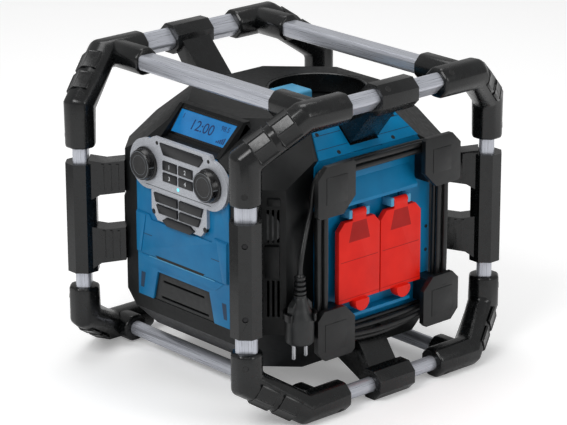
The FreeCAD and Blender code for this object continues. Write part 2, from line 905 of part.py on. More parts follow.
def display():
    gap = size("joint_gap")
    half = bezel_half()
    low = height(size("face_rise") + gap)
    top = height(size("case_top"))
    front = -size("case_half_y") + gap
    back = -size("case_half_y") + 50.0
    foot_in, foot_z = BEZEL_FOOT
    crest_in, crest_z = BEZEL_CREST
    foot_y = foot_in - size("case_half_y")
    crest_y = crest_in - size("case_half_y")
    middle = size("display_shift")
    skin = [(front, low), (front, low + 1.2), (foot_y, height(foot_z)), (crest_y, top),
            (back - gap, top), (back - gap, top - 3.5), (crest_y + 2.0, top - 3.5),
            (foot_y + 2.8, low)]
    cheek = [(front, low), (foot_y + 2.8, low), (crest_y + 2.0, top - 3.5), (crest_y, top),
             (crest_y - 1.2, top)]
    cheek_wide = 6.0
    parts = [plate("YZ", middle, [skin], half * 2, middle=True)]
    for start in (middle - half, middle + half - cheek_wide):
        parts.append(plate("YZ", start, [cheek], cheek_wide))
    tilt = math.degrees(math.atan2(crest_z - foot_z, crest_in - foot_in))
    turn = Rotation(Vector(1, 0, 0), tilt)
    wide = size("display_half_width")
    tall = size("display_height")

    def slab(grow, low_normal, high_normal):
        item = add("Part::Box")
        bind(item, "Length", wide * 2 + 2 * as_measure(grow))
        bind(item, "Width", tall + 2 * as_measure(grow))
        bind(item, "Height", high_normal - low_normal)
        corner = Placement(vector(middle, foot_y, height(foot_z)), turn).multiply(
            Placement(vector(-wide - grow, 6.0 - number(grow), low_normal), Rotation()))
        item.Placement = corner
        return item

    node("display_bezel", cut(fuse(parts), [slab(gap, -1.8, 3.0)]))
    node("display_window", slab(0.0, -1.8, -0.4))


# Side panel, sockets and covers

def cover_centres():
    step = (size("cover_width") + size("cover_gap")) * 0.5
    return {"front": size("cover_shift") - step, "rear": size("cover_shift") + step}


HINGE_X = size("case_half_x") + 14.0
BARREL_HALF = 11.0
BARREL_RADIUS = 4.5
LUG_WIDTH = 5.0
WING_TOP = -36.0
WING_FOOT = 2.0


def side_panel():
    thick = size("side_thickness")
    back = size("case_half_x") + 2.0 - thick
    centres = cover_centres()
    socket_z = height(size("cover_hinge_rise") - 50.0)
    loops = [side_outline(0.0)]
    for centre in centres.values():
        loops.append(("circle", centre, socket_z, size("socket_radius") + size("joint_gap")))
    face = size("case_half_x") + 2.0
    middle = size("cover_shift")
    hood_low = height(size("cover_hinge_rise") + 11.0)
    hood = plate("XZ", -middle, [[
        (face - 2.0, hood_low), (HINGE_X + 3.0, hood_low), (HINGE_X + 3.0, hood_low + 4.0),
        (face - 2.0, hood_low + 30.0)]], size("cover_width") * 2 - 8.0, middle=True)
    lip_top = height(size("cover_hinge_rise") - size("cover_height") - 20.0)
    lip = plate("XZ", -middle, [[
        (face - 2.0, lip_top), (HINGE_X + 1.0, lip_top), (HINGE_X + 1.0, lip_top - 4.0),
        (face - 2.0, lip_top - 10.0)]], size("cover_width") * 2 - 26.0, middle=True)
    parts = [plate("YZ", back, loops, thick), hood, lip]
    hinge_z = height(size("cover_hinge_rise"))
    holes = []
    for centre in centres.values():
        for way in (-1, 1):
            start = centre + way * (BARREL_HALF + LUG_WIDTH / 2 + 0.3) - LUG_WIDTH / 2
            parts.append(box((face - 1.0, HINGE_X + 3.5), (start, start + LUG_WIDTH),
                             (hinge_z - 5.0, hinge_z + 5.0)))
        reach = BARREL_HALF + LUG_WIDTH + 4.0
        holes.append(cylinder((HINGE_X, centre - reach, hinge_z), Vector(0, 1, 0),
                              size("hinge_pin_diameter") * 0.5 + 0.05, 2 * reach))
    slope = math.degrees(math.atan2(number(size("case_top") - size("face_rise")),
                                    number(size("roof_inset"))))
    turn = Rotation(Vector(0, 1, 0), slope)
    arm = size("clamp_arm_width") * 0.5 + 1.0
    for low, high, low_flare, high_flare in ((-64.0, -arm, -14.0, 0.0), (arm, 68.0, 0.0, 14.0)):
        wing = plate("XY", 0.0, [[
            (WING_TOP, low), (WING_FOOT, as_measure(low) + low_flare),
            (WING_FOOT, as_measure(high) + high_flare), (WING_TOP, high)]], 2.4)
        edge = vector(size("case_half_x"), 0.0, height(size("face_rise")))
        wing.Placement = Placement(edge, turn).multiply(
            Placement(Vector(0.0, 0.0, 0.3), Rotation()))
        parts.append(wing)
    node("side_panel", cut(fuse(parts), holes))


def sockets():
    socket_z = height(size("cover_hinge_rise") - 50.0)
    items = []
    for centre in cover_centres().values():
        deep = size("case_half_x") - 16.0
        shell = cylinder((deep, centre, socket_z), Vector(1, 0, 0), size("socket_radius"), 22.0)
        well = cylinder((deep + 5.0, centre, socket_z), Vector(1, 0, 0),
                        size("socket_radius") - 2.5, 22.0)
        pins = [cylinder((deep - 1.0, centre + way * size("pin_spacing") * 0.5, socket_z),
                         Vector(1, 0, 0), size("pin_diameter") * 0.5 + 0.3, 8.0)
                for way in (-1, 1)]
        items.append(cut(shell, [well] + pins))
    node("socket_inserts", group(items))


def socket_covers():
    hinge_z = height(size("cover_hinge_rise"))
    inner = HINGE_X - 3.0
    outer = inner + size("cover_thickness")
    half = size("cover_width") * 0.5
    low = hinge_z - size("cover_height") - 2.0
    for name, centre in cover_centres().items():
        shield = plate("YZ", inner, [[
            (centre - half, low), (centre + half, low), (centre + half, hinge_z - 18.0),
            (centre + half - 9.0, hinge_z - 8.0), (centre + BARREL_HALF, hinge_z - 8.0),
            (centre + BARREL_HALF, hinge_z - 1.0), (centre - BARREL_HALF, hinge_z - 1.0),
            (centre - BARREL_HALF, hinge_z - 8.0), (centre - half + 9.0, hinge_z - 8.0),
            (centre - half, hinge_z - 18.0)]], size("cover_thickness"))
        barrel = cylinder((HINGE_X, centre - BARREL_HALF, hinge_z), Vector(0, 1, 0),
                          BARREL_RADIUS, 2 * BARREL_HALF)
        pin_half = BARREL_HALF + LUG_WIDTH
        pin = cylinder((HINGE_X, centre - pin_half, hinge_z), Vector(0, 1, 0),
                       size("hinge_pin_diameter") * 0.5, 2 * pin_half)
        disc = cylinder((inner + 1.0, centre, low - 2.0), Vector(1, 0, 0), 11.0,
                        size("cover_thickness") + 5.0)
        tab = common(disc, box((inner, outer + 8.0), (centre - 15.0, centre + 15.0),
                               (low - 20.0, low + 1.0)))
        node("socket_cover_" + name, fuse([shield, barrel, pin, tab]))


# Cord hooks, cord and plug

def bevelled(y_range, z_range, low_left, low_right, high_right, high_left):
    """A rectangle in Y and Z whose four corners each have a bevel of their own."""
    low_y, high_y = y_range
    low_z, high_z = z_range
    points = []
    for x, y, way_x, way_y, bevel in ((low_y, low_z, 1, 1, low_left),
                                      (high_y, low_z, -1, 1, low_right),
                                      (high_y, high_z, -1, -1, high_right),
                                      (low_y, high_z, 1, -1, high_left)):
        side = (x, y + way_y * bevel)
        level = (x + way_x * bevel, y)
        if not bevel:
            points.append((x, y))
        elif way_x == way_y:
            points += [side, level]
        else:
            points += [level, side]
    return points


STEM_BEVEL = 11.5
HEAD_BEVELS = {
    1: {(-1, -1): 19.0, (1, -1): 3.0, (1, 1): 14.0, (-1, 1): 3.0},
    -1: {(-1, -1): 5.0, (1, -1): 12.0, (1, 1): 10.0, (-1, 1): 16.0},
}


def hook(way_y, way_z):
    """An L-shaped peg that the cord is wound round."""
    base = size("case_half_x")
    middle = size("side_shift")
    inner = size("hook_inner")
    outer = size("hook_outer")
    stem_inner = size("hook_stem_inner")
    stem_outer = stem_inner + size("hook_stem")
    if way_z > 0:
        head_z = (height(size("hook_low")), height(size("hook_top")))
        stem_z = (height(size("hook_low") + 5.0), height(size("hook_top") - 21.0))
    else:
        head_z = (height(-132.0), height(-70.0))
        stem_z = (height(-104.0), height(-74.0))
    if way_y > 0:
        head_y = (middle + inner, middle + outer)
        stem_y = (middle + stem_inner, middle + stem_outer)
    else:
        head_y = (middle - outer, middle - inner)
        stem_y = (middle - stem_outer, middle - stem_inner)
    plane = base + size("hook_reach")
    corners = [(-1, -1), (1, -1), (1, 1), (-1, 1)]
    bevels = [STEM_BEVEL if corner == (way_y, way_z) else 0.0 for corner in corners]
    stem = plate("YZ", base + 2.3, [bevelled(stem_y, stem_z, *bevels)],
                 size("hook_reach") - 1.3)
    heads = [HEAD_BEVELS[way_z][(corner[0] * way_y, corner[1])] for corner in corners]
    head = plate("YZ", plane, [bevelled(head_y, head_z, *heads)], size("hook_head"))
    return fuse([stem, head])


def cord_hooks():
    items = [hook(way_y, way_z) for way_y in (-1, 1) for way_z in (-1, 1)]
    y, x = -size("plug_y"), size("plug_x")
    clip_z = height(-size("plug_top") - 26.0)
    outer = cylinder((x, y, clip_z), Vector(0, 0, 1), size("plug_width") * 0.5 + 3.0, 9.0)
    inner = cylinder((x, y, clip_z - 1.0), Vector(0, 0, 1), size("plug_width") * 0.5 + 0.3, 11.0)
    mouth = box((x + 6.0, x + 30.0), (y - 30.0, y + 6.0), (clip_z - 1.0, clip_z + 10.0))
    foot = box((size("case_half_x") + 0.0, x - size("plug_width") * 0.5 - 1.0),
               (y - 2.0, y + 14.0), (clip_z, clip_z + 9.0))
    items.append(cut(fuse([outer, foot]), [inner, mouth]))
    start = height(WINDING["start"])
    block = 3.7
    items.append(box((size("case_half_x") + 2.0, WINDING["near_x"] + block),
                     (WINDING_LEFT - block, WINDING_LEFT + block), (start, start + 24.0)))
    node("cord_hooks", group(items))


WINDING = {"near_x": number(size("case_half_x")) + 5.8, "start": 20.0, "end": 65.0, "turns": 2.0,
           "corner": 18.0}
CORD_SHIFT = number(size("side_shift"))
CORD_RADIUS = number(size("cord_diameter")) / 2
HOOK_CLEAR = 0.4
WINDING_HALF = (number(size("hook_stem_inner")) + number(size("hook_stem"))
                + HOOK_CLEAR + CORD_RADIUS)
WINDING_LEFT = CORD_SHIFT - WINDING_HALF
WINDING_TOP = number(size("hook_top")) - 21.0 + HOOK_CLEAR + CORD_RADIUS
WINDING_LOW = -104.0 - HOOK_CLEAR - CORD_RADIUS


def winding_corner(name, grow):
    """Start and end of one corner's arc in Y and Z, with the way the cord runs there."""
    half = WINDING_HALF + grow
    turn = WINDING["corner"] + grow
    top = WINDING_TOP + grow
    low = WINDING_LOW - grow
    down, right, up, left = (0, -1), (1, 0), (0, 1), (-1, 0)
    corners = {
        "low_left": ((-half, low + turn), down, (-half + turn, low), right),
        "low_right": ((half - turn, low), right, (half, low + turn), up),
        "top_right": ((half, top - turn), up, (half - turn, top), left),
        "top_left": ((-half + turn, top), left, (-half, top - turn), down),
    }
    return corners[name]


def lap(grow):
    """Length of one lap round the four hooks."""
    half = WINDING_HALF + grow
    turn = WINDING["corner"] + grow
    tall = WINDING_TOP - WINDING_LOW + 2 * grow
    return 4 * half + 2 * tall - 8 * turn + 2 * math.pi * turn


def winding_stations():
    """Points and directions of the cord: two laps out, a climb, then back in on top."""
    pitch = number(size("cord_pitch"))
    names = ["low_left", "low_right", "top_right", "top_left"]
    near = WINDING["near_x"]
    far = near + WINDING["turns"] * pitch
    plan = []
    for step in range(8):
        plan.append((names[step % 4], 0.0, 0.0))
    plan += [("low_left", 0.29, 0.37), ("low_right", 0.77, 0.84)]
    for step in range(2, 8):
        plan.append((names[step % 4], 1.0, 1.0))
    stations = []
    travelled = 0.0
    last = Vector(0, WINDING_LEFT - CORD_SHIFT, WINDING["start"])
    for index, (name, grow_in, grow_out) in enumerate(plan):
        entry, way_in, exit_, way_out = winding_corner(name, pitch * grow_in)
        other = winding_corner(name, pitch * grow_out)
        for point, way in ((entry, way_in), (other[2], other[3])):
            here = Vector(0, point[0], point[1])
            travelled += (here - last).Length
            last = here
            stations.append([travelled, index, here, Vector(0, way[0], way[1])])
    lap_in = lap(0.0)
    first_end = WINDING["turns"] * lap_in
    climb_end = first_end + 0.5 * lap(pitch * 0.5)
    return stations, near, far, first_end, climb_end


def winding_x(travelled, near, far, first_end, climb_end):
    if travelled < first_end:
        return near + (far - near) * travelled / first_end
    if travelled < climb_end:
        return far
    return far - (far - near) * (travelled - climb_end) / first_end


def biarc(start, start_way, end, end_way):
    """Two tangent arcs, or a straight line, between two points with given directions."""
    chord = end - start
    if start_way.cross(chord).Length < 1e-6 and end_way.cross(chord).Length < 1e-6:
        return [Part.LineSegment(start, end).toShape()]
    both = start_way + end_way
    spread = 2.0 * (1.0 - start_way.dot(end_way))
    along = chord.dot(both)
    if spread < 1e-9:
        reach = chord.dot(chord) / (4.0 * chord.dot(end_way))
    else:
        root = math.sqrt(along * along + spread * chord.dot(chord))
        reach = (root - along) / spread
    first = start + start_way * reach
    second = end - end_way * reach
    middle = (first + second) * 0.5
    return [arc(start, first, middle), arc(middle, second, end)]


def arc(start, corner, end):
    """An arc that leaves start towards corner and arrives at end from it."""
    half = (end - start) * 0.5
    lift = corner - (start + half)
    if lift.Length < 1e-5:
        return Part.LineSegment(start, end).toShape()
    angle = math.atan2(lift.Length, half.Length)
    rise = half.Length * math.tan(angle / 2.0)
    crown = start + half + lift.normalize() * rise
    return Part.Arc(start, crown, end).toShape()


def tube_along(edges, start, way):
    wire = Part.Wire(edges)
    profile = Part.Wire([Part.Circle(start, way, CORD_RADIUS).toShape()])
    return wire.makePipeShell([profile], True, False)


def cord_winding():
    stations, near, far, first_end, climb_end = winding_stations()
    lift = number(height(0.0))
    points = []
    for travelled, index, here, way in stations:
        x = winding_x(travelled, near, far, first_end, climb_end)
        points.append((Vector(x, here.y + CORD_SHIFT, here.z + lift), way))
    start_way = Vector(0, 0, -1)
    start = Vector(near, WINDING_LEFT, WINDING["start"] + lift)
    begin = start + start_way * number(size("cord_diameter"))
    path = [(start, start_way), (begin, start_way)]
    for step, (point, way) in enumerate(points):
        before = path[-1][0]
        after = points[step + 1][0] if step + 1 < len(points) else point + way
        if step % 2 == 0:
            slope = (point - before).normalize()
        elif step + 1 < len(points):
            slope = (after - point).normalize()
        else:
            slope = way
        path.append((point, slope))
    point, way = path[-1]
    finish = Vector(point.x, point.y, WINDING["end"] + lift)
    path[-1] = (point, Vector(0, 0, -1))
    path.append((finish, Vector(0, 0, -1)))
    edges = []
    for (low, low_way), (high, high_way) in zip(path, path[1:]):
        edges += biarc(low, low_way, high, high_way)
    tube_shape = tube_along(edges, start, start_way)
    length = sum(edge.Length for edge in edges)
    print("winding length %.0f volume ratio %.4f" % (
        length, tube_shape.Volume / (math.pi * CORD_RADIUS ** 2 * length)))
    print("winding least gap %.2f" % least_gap(edges))
    item = doc.addObject("Part::Feature", "Winding")
    item.Shape = tube_shape
    item.Placement = Placement()
    node("cord_winding", item)
    return finish


def least_gap(edges):
    """Smallest gap between stretches of the cord that are a lap or more apart."""
    points = []
    travelled = 0.0
    for edge in edges:
        count = int(edge.Length / 3.0) + 2
        for step, spot in enumerate(edge.discretize(count)):
            points.append((travelled + edge.Length * step / (count - 1), spot))
        travelled += edge.Length
    least = 1e9
    for index, (near_s, near_point) in enumerate(points):
        for far_s, far_point in points[index + 1:]:
            if far_s - near_s > 60.0:
                least = min(least, near_point.distanceToPoint(far_point))
    return least - 2 * CORD_RADIUS


def cord_lead(start):
    """The free stretch from the winding to the plug: straight runs joined by arcs."""
    lift = number(height(0.0))
    plug_x = number(size("plug_x"))
    plug_y = -number(size("plug_y"))
    relief_top = -number(size("plug_top")) + 24.0
    route = [
        start,
        Vector(start.x, start.y, 39.0 + lift),
        Vector(plug_x, plug_y, 1.0 + lift),
        Vector(plug_x, plug_y, relief_top + lift),
    ]
    edges = []
    last = route[0]
    for before, here, after in zip(route, route[1:], route[2:]):
        back = (before - here).normalize()
        ahead = (after - here).normalize()
        shorter = min((before - here).Length, (after - here).Length)
        trim = 0.45 * shorter
        half_turn = (math.pi - back.getAngle(ahead)) / 2.0
        radius = trim / math.tan(half_turn)
        print("lead radius %.1f" % radius)
        arc_start = here + back * trim
        arc_end = here + ahead * trim
        middle_way = (back + ahead).normalize()
        crown = here + middle_way * (radius / math.cos(half_turn) - radius)
        edges.append(Part.LineSegment(last, arc_start).toShape())
        edges.append(Part.Arc(arc_start, crown, arc_end).toShape())
        last = arc_end
    edges.append(Part.LineSegment(last, route[-1]).toShape())
    tube_shape = tube_along(edges, start, Vector(0, 0, -1))
    length = sum(edge.Length for edge in edges)
    print("lead length %.0f volume ratio %.4f" % (
        length, tube_shape.Volume / (math.pi * CORD_RADIUS ** 2 * length)))
    item = doc.addObject("Part::Feature", "Lead")
    item.Shape = tube_shape
    item.Placement = Placement()
    node("cord_lead", item)


def plug():
    x, y = size("plug_x"), -size("plug_y")
    top = height(-size("plug_top"))
    low = height(-size("plug_bottom"))
    down = Vector(0, 0, -1)
    relief_top = top + 24.0
    parts = [cone((x, y, relief_top), down, 4.6, 7.0, 25.0)]
    for step in range(4):
        parts.append(cylinder((x, y, relief_top - 2.5 - step * 5.8), down, 6.4 + 0.4 * step, 3.2))
    half = size("plug_width") * 0.5
    parts.append(cone((x, y, top), down, half * 0.55, half, 18.0))
    parts.append(cylinder((x, y, top - 18.0), down, half, top - 18.0 - low))
    for way in (-1, 1):
        parts.append(cylinder((x, y + way * size("pin_spacing") * 0.5, low + 1.0), down,
                              size("pin_diameter") * 0.5, size("pin_length") + 1.0))
    node("plug", fuse(parts))


# Inside parts and fasteners

def corner_speakers():
    items = []
    for side in SIDES.values():
        for end in ENDS.values():
            x, y, z = chamfer_point(side, end, size("case_wall") + size("joint_gap"), 30.0)
            inward = Vector(-side, -end, 0)
            frame = cylinder((x, y, z), inward, size("speaker_radius"), 6.0)
            magnet = cylinder((x, y, z), inward, size("speaker_radius") - 6.0, 20.0)
            items.append(fuse([frame, magnet]))
    node("corner_speakers", group(items))


def electronics():
    back = front_face(-3.3)
    rise = height(size("knob_rise"))
    board = box((-66.0, 66.0), (-back + 10.0, -back + 12.0), (height(0.0), height(98.0)))
    parts = [board]
    for side in SIDES.values():
        x = side * size("knob_offset")
        parts.append(cylinder((x, -back + 11.0, rise), Vector(0, -1, 0), 7.0, 9.0))
    for x in (-40.0, 40.0):
        for post_rise in (5.0, 93.0):
            parts.append(cylinder((x, -back + 11.0, height(post_rise)), Vector(0, -1, 0),
                                  3.0, 11.3))
    for label_x in (-30.0, 20.0):
        parts.append(box((label_x, label_x + 14.0), (-back + 11.0, -back + 15.0),
                         (height(30.0), height(46.0))))
    node("main_board", fuse(parts))
    floor = height(-size("case_bottom") + size("case_wall") + size("joint_gap"))
    core = box((-40.0, 40.0), (-20.0, 50.0), (floor, floor + 60.0))
    coil = box((-26.0, 26.0), (-32.0, 62.0), (floor + 14.0, floor + 46.0))
    node("power_supply", fuse([core, coil]))


def build():
    cage()
    casings()
    fascia()
    control_plate()
    keys()
    knobs()
    sub_panel()
    display()
    side_panel()
    sockets()
    socket_covers()
    cord_hooks()
    cord_lead(cord_winding())
    plug()
    corner_speakers()
    electronics()
    node("screws", group(SCREWS))
    doc.recompute()
    faults = [item.Name for item in doc.Objects
              if "Invalid" in item.State or "Error" in item.State]
    if faults:
        raise RuntimeError("failed objects: " + ", ".join(faults))
    for label, item in NODES.items():
        shape = item.Shape
        if shape.isNull() or not shape.isValid():
            raise RuntimeError("bad shape: " + label)
        shape.exportStep("parts/%s.step" % label)
    print("%d nodes" % len(NODES))


build()
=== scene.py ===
import json
import math

import bmesh
import bpy
from mathutils import Matrix, Quaternion, Vector


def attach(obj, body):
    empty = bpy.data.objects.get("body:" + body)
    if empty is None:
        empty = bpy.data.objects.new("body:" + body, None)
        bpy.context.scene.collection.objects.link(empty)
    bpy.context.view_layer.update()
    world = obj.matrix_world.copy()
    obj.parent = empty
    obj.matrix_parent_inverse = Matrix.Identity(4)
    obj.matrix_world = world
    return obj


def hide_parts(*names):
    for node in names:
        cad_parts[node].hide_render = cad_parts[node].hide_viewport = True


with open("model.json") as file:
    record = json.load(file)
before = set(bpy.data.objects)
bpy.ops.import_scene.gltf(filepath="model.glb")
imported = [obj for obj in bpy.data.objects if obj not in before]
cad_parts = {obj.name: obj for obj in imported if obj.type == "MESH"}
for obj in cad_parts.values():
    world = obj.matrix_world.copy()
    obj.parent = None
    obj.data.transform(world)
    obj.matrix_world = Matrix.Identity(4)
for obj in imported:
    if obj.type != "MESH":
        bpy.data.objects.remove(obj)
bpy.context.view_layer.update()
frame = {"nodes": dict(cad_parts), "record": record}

# The object's lengths are in millimetres, with heights counted from the middle of the cage.
# The cord's stated length, the floor and the lamps are in metres.

MM = 0.001
MIDDLE = 195.5
TO_FRAME = Matrix.Translation((0, 0, MIDDLE * MM)) @ Matrix.Scale(MM, 4)
X, Y, Z = Vector((1, 0, 0)), Vector((0, 1, 0)), Vector((0, 0, 1))


def in_frame(x, y, rise):
    return TO_FRAME @ Vector((x, y, rise))


# Camera

camera_data = bpy.data.cameras.new("camera")
camera_data.lens = 173.41
camera_data.sensor_width = 36.0
camera_data.clip_end = 50.0
camera = bpy.data.objects.new("camera", camera_data)
bpy.context.scene.collection.objects.link(camera)
sight_right = Vector((0.66751, 0.74460, -0.00288))
sight_down = Vector((0.23705, -0.21617, -0.94714))
sight_ahead = Vector((-0.70586, 0.63154, -0.32080))
camera.matrix_world = (
    Matrix.Translation(in_frame(2368.9, -2121.8, 1064.4))
    @ Matrix((sight_right, -sight_down, -sight_ahead)).transposed().to_4x4())
bpy.context.scene.camera = camera


# Materials

def srgb(red, green, blue):
    """A colour as it looks on a screen, from 0 to 255, made linear for the shader."""
    linear = []
    for value in (red, green, blue):
        value /= 255.0
        linear.append(value / 12.92 if value <= 0.04045 else ((value + 0.055) / 1.055) ** 2.4)
    return (*linear, 1.0)


# The parts of a noise's range that are stretched to a full range of values or colours
VALUE_SPAN = (0.3, 0.7)
COLOUR_SPAN = (0.32, 0.68)


class Finish:
    """A node material that reads Object coordinates."""

    def __init__(self, name):
        self.material = bpy.data.materials.new(name)
        self.material.use_nodes = True
        self.nodes = self.material.node_tree.nodes
        self.links = self.material.node_tree.links
        self.shader = self.nodes["Principled BSDF"]
        self.place = self.nodes.new("ShaderNodeTexCoord").outputs["Object"]

    def set(self, **values):
        for name, value in values.items():
            socket = name.replace("_", " ").title().replace("Ior", "IOR")
            self.shader.inputs[socket].default_value = value
        return self

    def stretch(self, x, y, z):
        mapping = self.nodes.new("ShaderNodeMapping")
        mapping.inputs["Scale"].default_value = (x, y, z)
        self.links.new(self.place, mapping.inputs["Vector"])
        self.place = mapping.outputs["Vector"]
        return self

    def noise(self, grain, detail=3.0):
        """Noise whose grain is a size in millimetres."""
        noise = self.nodes.new("ShaderNodeTexNoise")
        noise.inputs["Scale"].default_value = 1.0 / (grain * MM)
        noise.inputs["Detail"].default_value = detail
        self.links.new(self.place, noise.inputs["Vector"])
        return noise.outputs["Fac"]

    def between(self, fac, low, high):
        ramp = self.nodes.new("ShaderNodeMapRange")
        for socket, value in zip(("From Min", "From Max", "To Min", "To Max"),
                                 (*VALUE_SPAN, low, high)):
            ramp.inputs[socket].default_value = value
        self.links.new(fac, ramp.inputs["Value"])
        return ramp.outputs["Result"]

    def colours(self, fac, low, high):
        ramp = self.nodes.new("ShaderNodeValToRGB")
        for index, colour in enumerate((low, high)):
            stop = ramp.color_ramp.elements[index]
            stop.position = COLOUR_SPAN[index]
            stop.color = colour
        self.links.new(fac, ramp.inputs["Fac"])
        self.links.new(ramp.outputs["Color"], self.shader.inputs["Base Color"])
        return self

    def rough(self, fac, low, high):
        self.links.new(self.between(fac, low, high), self.shader.inputs["Roughness"])
        return self

    def bump(self, fac, depth):
        bump = self.nodes.new("ShaderNodeBump")
        bump.inputs["Distance"].default_value = depth * MM
        bump.inputs["Strength"].default_value = 1.0
        self.links.new(fac, bump.inputs["Height"])
        self.links.new(bump.outputs["Normal"], self.shader.inputs["Normal"])
        return self


def moulded(name, dark, light, rough, grain=0.5, depth=0.02, mottle=14.0, gloss=0.5):
    """Moulded plastic: a slight drift of colour, a grained skin and uneven gloss."""
    finish = Finish(name).set(specular_ior_level=gloss)
    finish.colours(finish.noise(mottle, 4.0), srgb(*dark), srgb(*light))
    finish.rough(finish.noise(mottle * 0.4, 5.0), rough - 0.06, rough + 0.07)
    finish.bump(finish.noise(grain, 2.0), depth)
    return finish.material


def drawn_metal(name, dark, light, rough, along):
    """Drawn aluminium with faint lines that run with the tube."""
    finish = Finish(name).set(metallic=0.6)
    scale = [1.0, 1.0, 1.0]
    scale[along] = 0.02
    finish.stretch(*scale)
    lines = finish.noise(0.9, 4.0)
    finish.colours(lines, srgb(*dark), srgb(*light))
    finish.rough(lines, rough - 0.05, rough + 0.06)
    finish.bump(lines, 0.01)
    return finish.material


def speckled(name, dark, light, rough):
    """Silver paint with fine dark flecks."""
    finish = Finish(name).set(metallic=0.35)
    finish.colours(finish.noise(0.8, 2.0), srgb(*dark), srgb(*light))
    finish.rough(finish.noise(5.0, 4.0), rough - 0.05, rough + 0.05)
    finish.bump(finish.noise(0.8, 2.0), 0.02)
    return finish.material


def glowing(name, colour, strength, dark, light):
    finish = Finish(name).set(emission_color=srgb(*colour), emission_strength=strength)
    finish.colours(finish.noise(20.0, 2.0), srgb(*dark), srgb(*light))
    finish.rough(finish.noise(6.0, 3.0), 0.15, 0.25)
    return finish.material


CAGE_BLACK = moulded("cage_moulding", (8, 9, 10), (14, 16, 17), 0.24, 0.6, 0.012)
CASE_BLACK = moulded("casing_black", (6, 8, 9), (12, 14, 15), 0.46, 0.45, 0.03, 14.0, 0.3)
PANEL_BLACK = moulded("panel_black", (14, 16, 17), (21, 23, 24), 0.45, 0.5, 0.02)
HOOK_BLACK = moulded("hook_black", (8, 9, 11), (14, 16, 17), 0.4, 0.5, 0.02)
FACE_BLUE = moulded("fascia_blue", (8, 104, 154), (14, 116, 166), 0.38, 0.5, 0.012, 30.0, 0.3)
# Darker blue for the shade in grooves, recesses and steps: painted shade.
GROOVE_SHADE_BLUE = moulded("painted_groove_shade_blue", (4, 42, 70), (8, 50, 80), 0.5, 0.5, 0.012, 30.0)
SIDE_BLUE = moulded("side_panel_blue", (0, 112, 160), (2, 122, 172), 0.38, 0.5, 0.012, 30.0, 0.3)
LUG_BLUE = moulded("hinge_lug_blue", (66, 146, 186), (80, 158, 196), 0.38, 0.5, 0.01)
COVER_RED = moulded("cover_red", (222, 26, 14), (232, 34, 20), 0.4, 0.5, 0.012, 24.0, 0.22)
# Darker red for the shade under a cover's neck and along its steps: painted shade.
COVER_SHADE_RED = moulded("cover_red_painted_shade", (160, 16, 10), (174, 22, 16), 0.5, 0.5, 0.012, 24.0, 0.22)
TUBE_METALS = [drawn_metal("tube_metal_" + name, (178, 181, 190), (204, 207, 215), 0.3, along)
               for along, name in enumerate("xyz")]
SILVER = speckled("control_plate_silver", (150, 153, 160), (204, 207, 213), 0.42)
KEY_BLACK = moulded("key_black", (5, 7, 11), (10, 12, 17), 0.34, 0.4, 0.01, 6.0)
KNOB_FACE = moulded("knob_face_grey", (24, 24, 25), (32, 32, 33), 0.5, 0.4, 0.02, 6.0)
KNOB_GRIP = moulded("knob_grip_black", (5, 5, 6), (9, 9, 10), 0.28, 0.4, 0.01, 6.0)
MARK_WHITE = moulded("mark_pale", (200, 204, 208), (216, 219, 222), 0.5, 0.4, 0.005, 6.0)
# Near-black for the shade inside screw holes, slits and slots: painted shade.
HOLLOW_SHADE_DARK = moulded("painted_hollow_shade", (8, 8, 9), (14, 14, 15), 0.6, 0.4, 0.01, 6.0)
CORD_BLACK = moulded("cord_black", (17, 18, 19), (25, 26, 27), 0.38, 0.7, 0.02, 10.0)
PLUG_BLACK = moulded("plug_black", (22, 24, 25), (31, 33, 34), 0.42, 0.5, 0.02, 8.0)
PIN_METAL = drawn_metal("pin_metal", (176, 178, 182), (206, 208, 212), 0.25, 2)
SCREW_METAL = drawn_metal("screw_black_metal", (30, 30, 32), (46, 46, 48), 0.35, 2)
DISPLAY_LIT = glowing("display_lit", (34, 138, 206), 0.42, (16, 74, 124), (28, 96, 150))
GLOW_SPOT = glowing("standby_glow", (120, 225, 240), 0.8, (70, 170, 200), (120, 215, 230))
DISPLAY_INK = moulded("display_ink", (16, 44, 92), (20, 52, 104), 0.4, 0.4, 0.005, 6.0)
# Grey for the knobs' real index marks, and for painted light: the highlight on the knob rims and
# the shade along the plate's step.
GREY_MARK_AND_PAINTED_LIGHT = moulded("grey_marks_and_painted_light", (84, 88, 92), (98, 102, 106), 0.45, 0.4, 0.01, 8.0)
INNER_STEEL = moulded("inner_steel", (60, 61, 63), (74, 75, 77), 0.4, 0.6, 0.02, 8.0)
BOARD_GREEN = moulded("board_green", (18, 74, 42), (26, 88, 52), 0.4, 0.6, 0.02, 8.0)


# Mesh helpers

BODY_OF = {node: body for body, nodes in frame["record"]["behaviour"]["bodies"].items()
           for node in nodes}


def piece(name, form, material, body="radio", soft=30.0, stands_for=()):
    """Turns a form in millimetres into a finished piece that rides on a body."""
    bmesh.ops.transform(form, matrix=TO_FRAME, verts=form.verts)
    for face in form.faces:
        face.smooth = True
    for edge in form.edges:
        edge.smooth = len(edge.link_faces) == 2 and edge.calc_face_angle(0.0) < math.radians(soft)
    mesh = bpy.data.meshes.new(name)
    form.to_mesh(mesh)
    form.free()
    mesh.materials.append(material)
    item = bpy.data.objects.new(name, mesh)
    bpy.context.scene.collection.objects.link(item)
    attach(item, body)
    if stands_for:
        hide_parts(*stands_for)
    return item


def ease(form, width, segments=2, angle=30.0):
    """Rounds every edge that turns by more than an angle."""
    edges = [edge for edge in form.edges if len(edge.link_faces) == 2
             and edge.calc_face_angle(0.0) > math.radians(angle)]
    bmesh.ops.bevel(form, geom=edges, offset=width, offset_type="OFFSET", segments=segments,
                    profile=0.5, affect="EDGES", clamp_overlap=True, material=-1)


def outward(form):
    bmesh.ops.remove_doubles(form, verts=form.verts, dist=0.001)
    bmesh.ops.recalc_face_normals(form, faces=form.faces)


